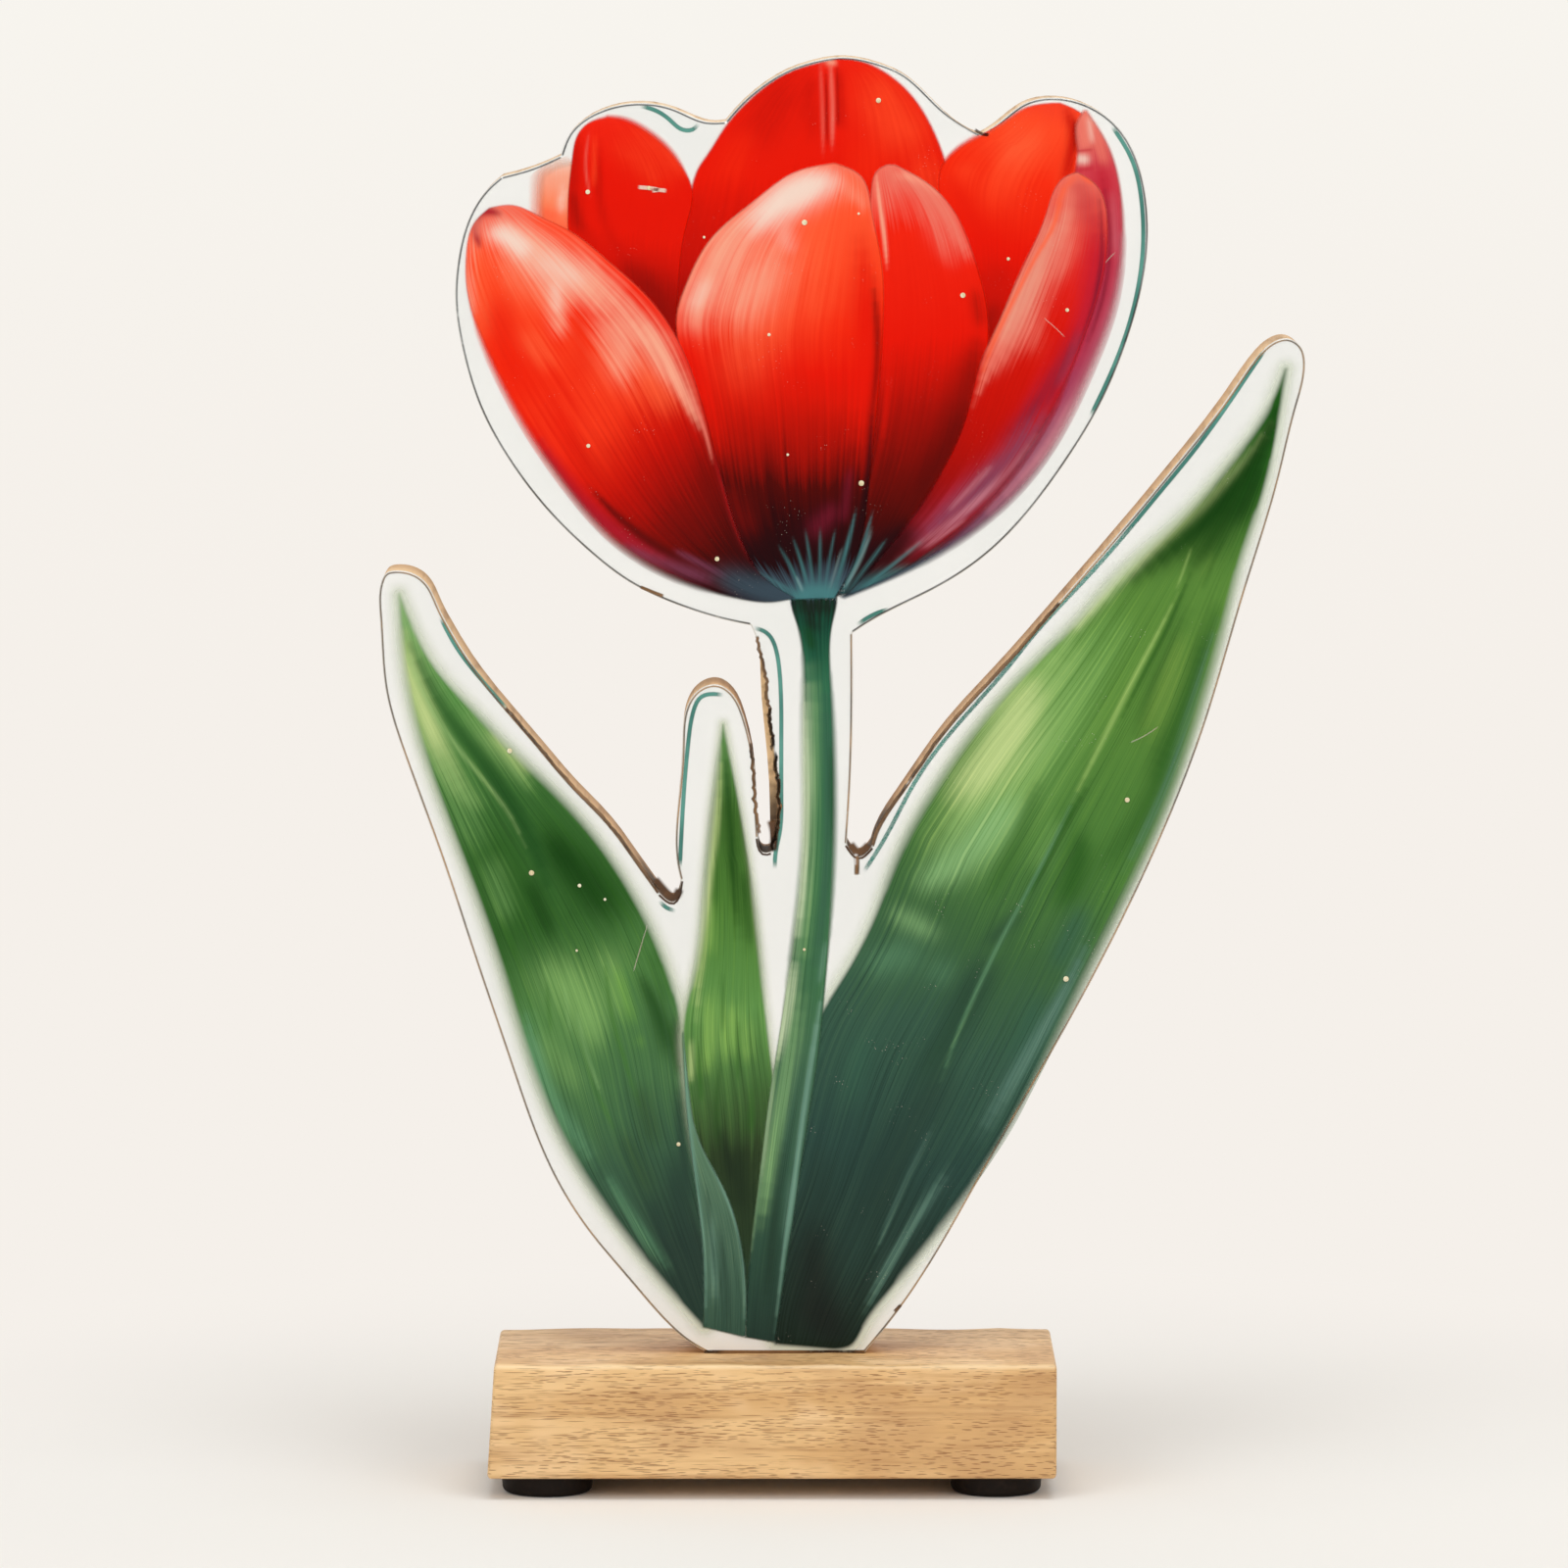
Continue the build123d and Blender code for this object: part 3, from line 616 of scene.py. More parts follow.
printed_area(
    "petal_outer_right", 5,
    [(508, 590), (550, 624), (603, 677), (635, 726), (648, 763), (669, 797), (696, 842), (720, 880),
     (741, 909), (752, 912)],
    [(510, 589), (577, 612), (635, 642), (688, 684), (730, 733), (759, 782), (780, 827), (786, 869),
     (773, 903), (754, 912)],
    [(0.0, slate), (0.06, soot), (0.16, tone(96, 8, 14)), (0.3, tone(158, 8, 2)), (0.48, deep_red),
     (0.66, tone(216, 20, 4)), (0.82, tone(226, 36, 30)), (1.0, rose)],
    [(crimson, 0.6, (0.8, (1112, 200, 12), (1116, 260, 14), (1106, 320, 14), (1080, 380, 14),
      (1040, 440, 14)), (0.5, (1098, 190, 10), (1100, 220, 12)),
      (0.5, (990, 500, 18), (940, 550, 16))),
     (rose, 0.8, (0.85, (1090, 196, 12), (1078, 236, 15), (1060, 276, 17), (1040, 314, 17),
      (1022, 350, 15), (1008, 376, 6), (994, 408, 2.5)), (0.4, (1050, 330, 16), (1046, 352, 12)),
      (0.4, (1086, 250, 14), (1072, 280, 12))),
     (tone(232, 156, 132), 0.6,
      (0.75, (1080, 220, 9), (1062, 258, 13), (1042, 300, 15), (1022, 344, 12))),
     (orange, 0.3, (0.8, (1102, 181, 3), (1088, 188, 4), (1076, 222, 3), (1058, 258, 2.5),
      (1036, 300, 2.5), (1010, 356, 2.5), (1000, 386, 2)), (0.6, (1100, 180, 3), (1112, 188, 3))),
     (wine, 0.5, (0.5, (1092, 340, 8), (1066, 400, 10), (1024, 450, 10)),
      (0.6, (1119, 200, 2), (1122, 250, 2.5), (1114, 310, 2.5), (1094, 366, 2.5))),
     (plum, 0.7, (0.75, (1066, 424, 10), (1030, 468, 14), (984, 512, 14), (936, 552, 10)),
      (0.15, (1100, 340, 5), (1080, 392, 6))),
     (mist, 0.7, (0.4, (1060, 440, 3), (1018, 490, 4), (970, 532, 4), (920, 566, 3)),
      (0.35, (1010, 476, 3), (968, 520, 3)), (0.4, (984, 530, 2), (944, 558, 2.5))),
     (soot, 0.5, (0.6, (930, 540, 12), (896, 572, 12)), (0.4, (950, 480, 10), (930, 520, 10))),
     (petal_teal, 0.6, (0.55, (872, 604, 6), (900, 590, 7), (928, 580, 5)),
      (0.6, (880, 600, 2), (910, 576, 2), (940, 552, 1.5)),
      (0.5, (886, 602, 2), (924, 582, 2), (958, 556, 1.4)))],
    blurs=[(1, (1090, 400, 26), (1020, 480, 26), (940, 560, 24))],
    dust=0.4, seed=8.2,
)

printed_area(
    "petal_front_right", 4,
    [(486, 586), (507, 660), (520, 744), (528, 830), (532, 898), (539, 914), (549, 918)],
    [(508, 589), (560, 620), (636, 700), (656, 767), (657, 805), (642, 848), (624, 879), (592, 904),
     (557, 918)],
    [(0.0, soot), (0.12, tone(34, 2, 8)), (0.2, maroon), (0.3, tone(112, 6, 0)),
     (0.44, tone(170, 10, 0)), (0.6, scarlet), (0.82, tone(240, 34, 10)), (1.0, rose)],
    [(rose, 0.9,
      (0.85, (910, 184, 9), (934, 190, 12), (956, 208, 13), (972, 234, 11), (988, 262, 5)),
      (0.5, (940, 210, 10), (958, 236, 12), (972, 264, 9)), (0.4, (906, 190, 7), (906, 215, 6))),
     (peach, 0.6, (0.5, (914, 180, 5), (936, 184, 5), (958, 200, 4)),
      (0.8, (893, 178, 2.2), (896, 205, 2.6), (901, 240, 2.2), (904, 272, 1.5))),
     (blood_red, 0.5, (0.75, (996, 350, 8), (988, 390, 18), (968, 440, 24), (940, 490, 20)),
      (0.4, (994, 300, 8), (1000, 330, 8))),
     (maroon, 0.5, (0.6, (984, 420, 14), (960, 466, 18), (930, 516, 18))),
     (soot, 0.4, (0.8, (880, 600, 10), (898, 568, 12), (922, 536, 8))),
     (scarlet, 0.4, (0.4, (900, 300, 5), (903, 380, 5), (900, 450, 4))),
     (petal_teal, 0.6, (0.6, (857, 607, 2.6), (869, 582, 2.2), (881, 552, 1.7), (889, 524, 1.1)),
      (0.5, (862, 606, 2.4), (882, 580, 2.2), (902, 552, 1.5)),
      (0.45, (868, 606, 2.2), (892, 584, 2), (918, 560, 1.4)),
      (0.5, (860, 604, 1.8), (874, 574, 1.6), (888, 546, 1.2))),
     (tone(140, 168, 166), 0.3, (0.45, (862, 598, 1.8), (878, 568, 1.8), (888, 540, 1.3)))],
    dust=0.3, seed=5.7,
)

printed_area(
    "petal_far_right", 3,
    [(500, 587), (620, 650), (700, 720), (748, 800), (758, 860), (750, 905), (754, 928), (753, 950),
     (760, 959)],
    [(503, 586), (561, 603), (635, 633), (693, 669), (738, 714), (769, 760), (795, 812), (803, 865),
     (801, 891), (786, 933), (763, 959)],
    [(0.0, slate), (0.14, tone(84, 70, 88)), (0.3, plum), (0.5, tone(160, 60, 88)),
     (0.75, tone(186, 44, 66)), (0.9, tone(206, 60, 72)), (1.0, rose)],
    [(mist, 0.6, (0.8, (1146, 230, 6), (1142, 290, 7), (1124, 356, 8), (1094, 416, 9),
      (1050, 476, 9), (1000, 526, 8)), (0.4, (1130, 200, 6), (1136, 260, 6))),
     (crimson, 0.5, (0.75, (1120, 170, 8), (1126, 210, 9), (1126, 262, 8)),
      (0.5, (1112, 320, 6), (1092, 376, 6))),
     (wine, 0.4, (0.6, (1124, 190, 2), (1130, 240, 2.5), (1124, 300, 2.5), (1106, 354, 2.5))),
     (plum, 0.5, (0.5, (1074, 430, 6), (1030, 486, 8), (970, 540, 8))),
     (slate, 0.5, (0.7, (960, 562, 10), (910, 588, 12), (870, 600, 10))),
     (rose, 0.4, (0.9, (1104, 112, 8), (1106, 132, 9), (1104, 152, 7)),
      (0.5, (1116, 140, 6), (1124, 166, 5))),
     (cream, 0.3, (0.7, (1094, 163, 5), (1106, 164, 5)), (0.4, (1108, 122, 3), (1112, 146, 3))),
     (crimson, 0.2, (0.6, (1094, 156, 1.5), (1112, 154, 1.8)),
      (0.5, (1096, 175, 2), (1112, 173, 2.5)))],
    blurs=[(1, (1140, 240, 16), (1136, 320, 20), (1094, 416, 26), (1030, 490, 26), (940, 566, 24))],
    soft=0.6, seed=2.9,
)

printed_area(
    "petal_back_right", 2,
    [(645, 750), (632, 800), (618, 860), (610, 920), (635, 936), (667, 948), (700, 962),
     (726, 965)],
    [(655, 750), (700, 790), (745, 850), (766, 910), (761, 955), (735, 965)],
    [(0.0, tone(150, 8, 0)), (0.25, deep_red), (0.45, scarlet), (0.65, bright_red), (0.85, flame),
     (1.0, tone(240, 56, 36))],
    [(flame, 0.5, (0.6, (1040, 150, 34), (1020, 190, 28)), (0.4, (985, 176, 14))),
     (orange, 0.4, (0.4, (1046, 140, 20), (1030, 160, 18))),
     (scarlet, 0.5, (0.5, (970, 186, 8), (988, 220, 12), (1010, 260, 16))),
     (deep_red, 0.4, (0.5, (1006, 300, 18), (1020, 280, 12)),
      (0.85, (1086, 114, 5), (1092, 135, 6), (1090, 160, 6), (1084, 186, 5))),
     (blood_red, 0.4, (0.5, (1004, 340, 16), (1014, 316, 10)),
      (0.5, (1094, 124, 2), (1095, 156, 2)))],
    blurs=[(1, (966, 170, 14), (1000, 140, 14), (1040, 118, 14))],
    dust=0.3, seed=9.9, blur=0.7,
)

printed_area(
    "petal_back_left", 2,
    [(250, 810), (207, 862), (205.5, 885), (207, 903), (210, 921), (218, 943), (231, 951),
     (245, 954)],
    [(320, 768), (325, 835), (333, 872), (339, 900), (333, 911), (315, 930), (290, 945), (262, 954),
     (248, 955)],
    [(0.0, tone(140, 6, 0)), (0.2, tone(188, 10, 0)), (0.42, tone(226, 18, 0)), (0.7, scarlet),
     (1.0, tone(244, 40, 18))],
    [(flame, 0.6, (0.5, (650, 134, 8), (684, 156, 10), (704, 180, 7)),
      (0.35, (640, 150, 18), (676, 180, 16))),
     (deep_red, 0.5, (0.85, (590, 136, 7), (584, 180, 9), (588, 226, 10), (606, 250, 8)),
      (0.5, (612, 150, 4), (612, 200, 5), (624, 244, 7), (644, 270, 8))),
     (blood_red, 0.5, (0.7, (690, 330, 22), (664, 296, 20), (640, 276, 12)),
      (0.35, (586, 200, 4), (592, 236, 5))),
     (rose, 0.2, (0.35, (601, 138, 1.5), (598, 170, 1.5), (602, 200, 1.2))),
     (flame, 0.3, (0.4, (607, 140, 3), (606, 190, 3)))],
    blurs=[(1, (620, 122, 16), (670, 140, 16), (700, 168, 12))],
    dust=0.3, seed=6.4, blur=0.7,
)

printed_area(
    "petal_back_centre", 1,
    [(318, 765), (320, 835), (328, 872), (339, 901), (345, 914), (356, 926), (375, 947), (402, 968),
     (439, 987), (490, 998)],
    [(540, 800), (600, 850), (617, 885), (611, 921), (601, 940), (577, 969), (545, 989), (513, 998),
     (495, 999)],
    [(0.0, blood_red), (0.25, tone(190, 10, 0)), (0.5, tone(230, 20, 0)), (1.0, tone(236, 28, 8))],
    [(flame, 0.5, (0.65, (890, 90, 24), (920, 140, 26)), (0.4, (940, 170, 16), (950, 200, 12))),
     (deep_red, 0.5, (0.6, (800, 90, 26), (770, 130, 26)), (0.5, (826, 80, 10), (826, 140, 10)),
      (0.5, (856, 74, 5), (858, 130, 6)), (0.4, (712, 200, 6), (704, 250, 8))),
     (tone(150, 6, 0), 0.4, (0.7, (842, 76, 1.8), (843, 150, 2)),
      (0.6, (853, 70, 1.8), (854, 130, 2.2)), (0.4, (700, 290, 12), (694, 320, 12))),
     (rose, 0.2, (0.3, (836, 66, 1.8), (838, 110, 2), (839, 160, 1.5)),
      (0.6, (846, 62, 2), (848, 100, 2.4), (848, 152, 1.6))),
     (peach, 0.3, (0.7, (844, 63, 5), (850, 66, 3))),
     (bright_red, 0.5, (0.5, (880, 160, 20), (900, 190, 14)),
      (0.4, (740, 180, 16), (760, 140, 10)))],
    dust=0.4, seed=3.3, soft=0.5,
)

printed_area(
    "petal_sliver", 0,
    [(174, 868), (172.5, 885), (173.5, 899), (178, 913), (190, 918)],
    [(213, 860), (214, 890), (213.5, 918), (203, 920), (192, 919)],
    [(0.0, tone(252, 92, 56)), (0.4, tone(250, 132, 92)), (0.75, peach), (1.0, cream)],
    [(cream, 0.5, (0.6, (560, 168, 8), (580, 166, 8)), (0.4, (576, 190, 5), (574, 215, 5))),
     (flame, 0.5, (0.4, (556, 216, 6), (566, 222, 6)))],
    blurs=[(1, (546, 160, 13), (546, 196, 13), (549, 234, 12)),
           (1, (556, 172, 12), (575, 160, 12))],
    seed=7.7, soft=0.6, blur=2.4, margin=10,
)

# The stem, and the leaves around it

printed_area(
    "stem", 4,
    [(396, 12), (400, 67), (410, 128), (422, 197), (435, 258), (447, 319), (459, 403), (459, 502),
     (452, 566), (445, 584), (445, 591)],
    [(428, 8), (442, 75), (461, 167), (474, 228), (483, 289), (491, 365), (493, 441), (489, 517),
     (490, 566), (495, 584), (495, 591)],
    [(0.0, night_leaf), (0.14, tone(46, 76, 60)), (0.3, tone(62, 98, 74)), (0.6, tone(60, 114, 70)),
     (0.88, tone(44, 104, 74)), (0.95, tone(20, 70, 52)), (0.985, black_leaf), (1.0, slate)],
    [(tone(122, 164, 110), 0.6, (0.55, (829, 690, 7), (829, 800, 7), (824, 900, 7), (818, 980, 8)),
      (0.8, (813, 1010, 10), (806, 1080, 10), (790, 1160, 8), (776, 1240, 6))),
     (tone(206, 222, 182), 0.5, (0.85, (820, 690, 5), (821, 800, 6), (818, 900, 5), (810, 960, 5)),
      (0.7, (808, 980, 6), (800, 1040, 6), (792, 1080, 4)),
      (0.5, (788, 1080, 3), (781, 1140, 3), (774, 1200, 2.5))),
     (tone(146, 186, 136), 0.3, (0.8, (790, 1070, 2.5), (784, 1110, 2.5), (778, 1160, 2.2),
      (770, 1230, 2), (764, 1280, 1.6))),
     (sea_leaf, 0.4, (0.6, (842, 700, 6), (845, 820, 6), (840, 920, 7), (830, 990, 6)),
      (0.5, (816, 1060, 6), (806, 1140, 6), (796, 1220, 6))),
     (dark_leaf, 0.5, (0.4, (848, 760, 3), (849, 860, 3)), (0.5, (822, 640, 6), (828, 660, 5))),
     (black_leaf, 0.4, (0.85, (818, 618, 7), (836, 618, 8), (846, 620, 4)),
      (0.5, (822, 632, 5), (834, 640, 6)), (0.35, (800, 1160, 4), (790, 1240, 5), (782, 1320, 6))),
     (frost_leaf, 0.4, (0.9, (839, 1010, 2), (830, 1062, 3), (821, 1120, 3), (814, 1170, 2.6),
      (807, 1222, 2.4), (801, 1262, 2), (796, 1300, 1.8), (790, 1350, 1.6)),
      (0.4, (842, 960, 3), (836, 1000, 3)), (0.3, (810, 1200, 6), (802, 1260, 5)))],
    blurs=[(1, (816, 660, 8), (818, 760, 9), (816, 900, 9), (800, 1010, 9)),
           (0.7, (851, 680, 7), (852, 860, 8), (846, 960, 7))],
    threads=16, seed=1.9, fine=0.4, margin=8, blur=1.3,
)

printed_area(
    "leaf_left_fold", 5,
    [(350, 20), (350, 75), (341, 136), (332, 190), (327.5, 250)],
    [(396, 12), (396, 50), (390, 88), (373, 127), (346, 165), (334, 209), (328.5, 250)],
    [(0.0, tone(54, 84, 70)), (0.4, tone(78, 110, 88)), (1.0, tone(104, 142, 108))],
    [(frost_leaf, 0.4, (0.8, (698, 1060, 2.5), (699, 1110, 3), (704, 1165, 2.6), (710, 1210, 2.2),
      (716, 1260, 2), (718, 1340, 1.8)), (0.8, (704, 1140, 2), (718, 1172, 2), (738, 1214, 2),
      (752, 1252, 2), (758, 1290, 2), (759, 1350, 1.8)), (0.4, (724, 1240, 4), (728, 1320, 5))),
     (night_leaf, 0.4, (0.4, (734, 1250, 4), (742, 1340, 5)),
      (0.4, (720, 1210, 2), (728, 1300, 2)))],
    threads=18, seed=2.2, fine=0.5,
)

printed_area(
    "leaf_small", 3,
    [(390, 20), (385, 60), (350, 140), (332, 209), (328, 251), (342, 304), (351, 365), (362, 441),
     (371.5, 489)],
    [(400, 20), (412, 100), (424, 150), (430, 190), (426, 220), (418, 266), (410, 327), (399, 388),
     (386, 441), (372.5, 489)],
    [(0.0, night_leaf), (0.12, tone(36, 54, 34)), (0.3, tone(46, 64, 36)),
     (0.42, tone(72, 112, 58)), (0.52, tone(94, 144, 74)), (0.68, tone(76, 124, 50)),
     (0.85, tone(58, 100, 38)), (1.0, tone(96, 146, 80))],
    [(fresh_leaf, 0.9, (0.7, (722, 1010, 9), (722, 1050, 9), (718, 1090, 7)),
      (0.6, (746, 1030, 12), (744, 1070, 12)), (0.4, (764, 1040, 8), (764, 1076, 7)),
      (0.4, (728, 920, 6), (724, 970, 7))),
     (pale_leaf, 0.6,
      (0.7, (734, 770, 3), (730, 830, 4), (722, 900, 4), (714, 970, 5), (710, 1030, 5)),
      (0.5, (704, 1060, 3), (704, 1100, 3))),
     (dark_leaf, 0.7, (0.7, (740, 770, 3), (744, 840, 4), (748, 900, 6), (754, 960, 6)),
      (0.4, (758, 890, 4), (764, 960, 5)), (0.3, (734, 1080, 2), (730, 1130, 3), (732, 1170, 3))),
     (tone(110, 124, 90), 0.4, (0.5, (752, 800, 3), (762, 870, 3), (770, 940, 3), (778, 1000, 3))),
     (deep_leaf, 0.9, (0.5, (712, 1060, 2), (714, 1120, 3)),
      (0.4, (752, 1040, 2), (752, 1100, 2.5)), (0.4, (736, 990, 2), (736, 1050, 2)),
      (0.4, (770, 1100, 5), (764, 1150, 6))),
     (black_leaf, 0.4, (0.5, (748, 1170, 16), (756, 1230, 12)),
      (0.4, (734, 1150, 5), (746, 1200, 5)))],
    blurs=[(1, (732, 760, 8), (722, 880, 8), (706, 1010, 8)), (0.5, (768, 900, 8), (784, 1020, 8))],
    threads=26, seed=8.8, fine=0.45, glow=tone(214, 222, 192), soft=0.6, margin=16, glow_reach=3.0,
)

printed_area(
    "leaf_left", 2,
    [(350, 20), (312, 50), (269, 88), (227, 130), (184, 186), (158, 236), (131, 300), (100, 365),
     (68, 426), (40, 487), (25, 548), (21.5, 588)],
    [(352, 20), (355, 75), (346, 136), (332, 209), (328, 251), (312, 297), (269, 363), (227, 407),
     (184, 441), (142, 470), (100, 501), (57, 536), (31, 574), (22.5, 589)],
    [(0.0, night_leaf), (0.12, tone(42, 62, 52)), (0.24, tone(56, 90, 66)),
     (0.34, tone(70, 112, 68)), (0.44, tone(78, 126, 66)), (0.55, tone(50, 96, 40)),
     (0.7, tone(56, 104, 46)), (0.82, tone(84, 138, 68)), (0.92, tone(112, 160, 92)),
     (1.0, tone(150, 184, 128))],
    [(tone(124, 168, 96), 0.8,
      (0.85, (556, 990, 16), (580, 1010, 24), (598, 1036, 22), (606, 1060, 14)),
      (0.6, (620, 975, 16), (636, 1030, 14)), (0.4, (556, 1060, 18), (580, 1100, 18))),
     (tone(104, 156, 66), 0.7, (0.6, (630, 990, 9), (644, 1040, 9)), (0.4, (652, 1060, 7))),
     (tone(96, 148, 110), 0.6,
      (0.6, (536, 1030, 8), (546, 1080, 9), (568, 1130, 9), (600, 1180, 8)),
      (0.5, (620, 1200, 7), (650, 1250, 7), (680, 1290, 6))),
     (pale_leaf, 0.5,
      (0.95, (410, 640, 6), (420, 690, 11), (434, 730, 12), (450, 772, 10), (468, 806, 7)),
      (0.55, (500, 748, 8), (520, 768, 8), (536, 786, 6)), (0.4, (418, 770, 5), (436, 810, 6))),
     (tone(128, 168, 98), 0.6, (0.6, (446, 770, 14), (464, 800, 12), (484, 820, 9)),
      (0.5, (470, 720, 8), (500, 760, 9), (540, 800, 8))),
     (deep_leaf, 0.7, (0.9, (500, 850, 18), (520, 900, 22), (536, 950, 20)),
      (0.6, (552, 830, 16), (590, 880, 20), (640, 930, 18)), (0.5, (664, 970, 9), (680, 1020, 9)),
      (0.5, (470, 850, 8), (500, 930, 10), (520, 990, 9))),
     (dark_leaf, 0.6, (0.75, (560, 856, 14), (590, 890, 18), (620, 930, 16)),
      (0.8, (650, 990, 6), (668, 1030, 11), (680, 1070, 13)), (0.7, (690, 1040, 7), (692, 1090, 6)),
      (0.5, (540, 900, 10), (560, 950, 9))),
     (tone(104, 150, 84), 0.7, (0.5, (436, 760, 12), (458, 810, 16), (484, 856, 14)),
      (0.4, (500, 880, 12), (516, 930, 12))),
     (tone(26, 74, 26), 0.5, (0.8, (413, 648, 4), (430, 682, 6), (454, 726, 9), (482, 764, 10),
      (508, 800, 10), (530, 836, 9), (546, 870, 7), (560, 910, 5))),
     (tone(150, 186, 116), 0.3, (0.5, (408, 648, 3), (424, 690, 3.4), (448, 736, 3),
      (474, 772, 2.6), (500, 804, 2.2), (520, 832, 2), (532, 856, 1.6))),
     (tone(66, 116, 48), 0.5,
      (0.7, (616, 980, 2), (622, 1030, 2.6), (636, 1080, 3), (652, 1130, 3)),
      (0.5, (556, 1000, 2), (560, 1050, 2.4)),
      (0.4, (592, 1060, 2), (606, 1110, 2.4), (626, 1150, 2.4)),
      (0.4, (536, 1010, 2), (546, 1060, 2))),
     (tone(132, 176, 110), 0.5, (0.5, (588, 1030, 2), (596, 1070, 2), (610, 1110, 2)),
      (0.35, (574, 1000, 2), (580, 1050, 2))),
     (tone(48, 74, 44), 0.6, (0.5, (650, 1110, 10), (664, 1160, 12)),
      (0.4, (640, 1160, 12), (660, 1210, 12))),
     (night_leaf, 0.6, (0.6, (684, 1180, 10), (694, 1240, 12), (704, 1300, 12)),
      (0.5, (664, 1220, 9), (682, 1280, 9)),
      (0.6, (690, 1110, 5), (694, 1160, 6), (702, 1220, 6)))],
    blurs=[(1, (404, 620, 10), (414, 720, 12), (440, 820, 12), (500, 980, 12), (540, 1100, 12),
           (620, 1240, 12), (700, 1340, 12)),
           (0.8, (430, 640, 8), (520, 760, 10), (600, 840, 10), (660, 930, 10), (692, 1020, 8))],
    threads=60, seed=5.1, fine=0.45, glow=tone(216, 224, 200), soft=0.6, streak=0.1, margin=24,
)

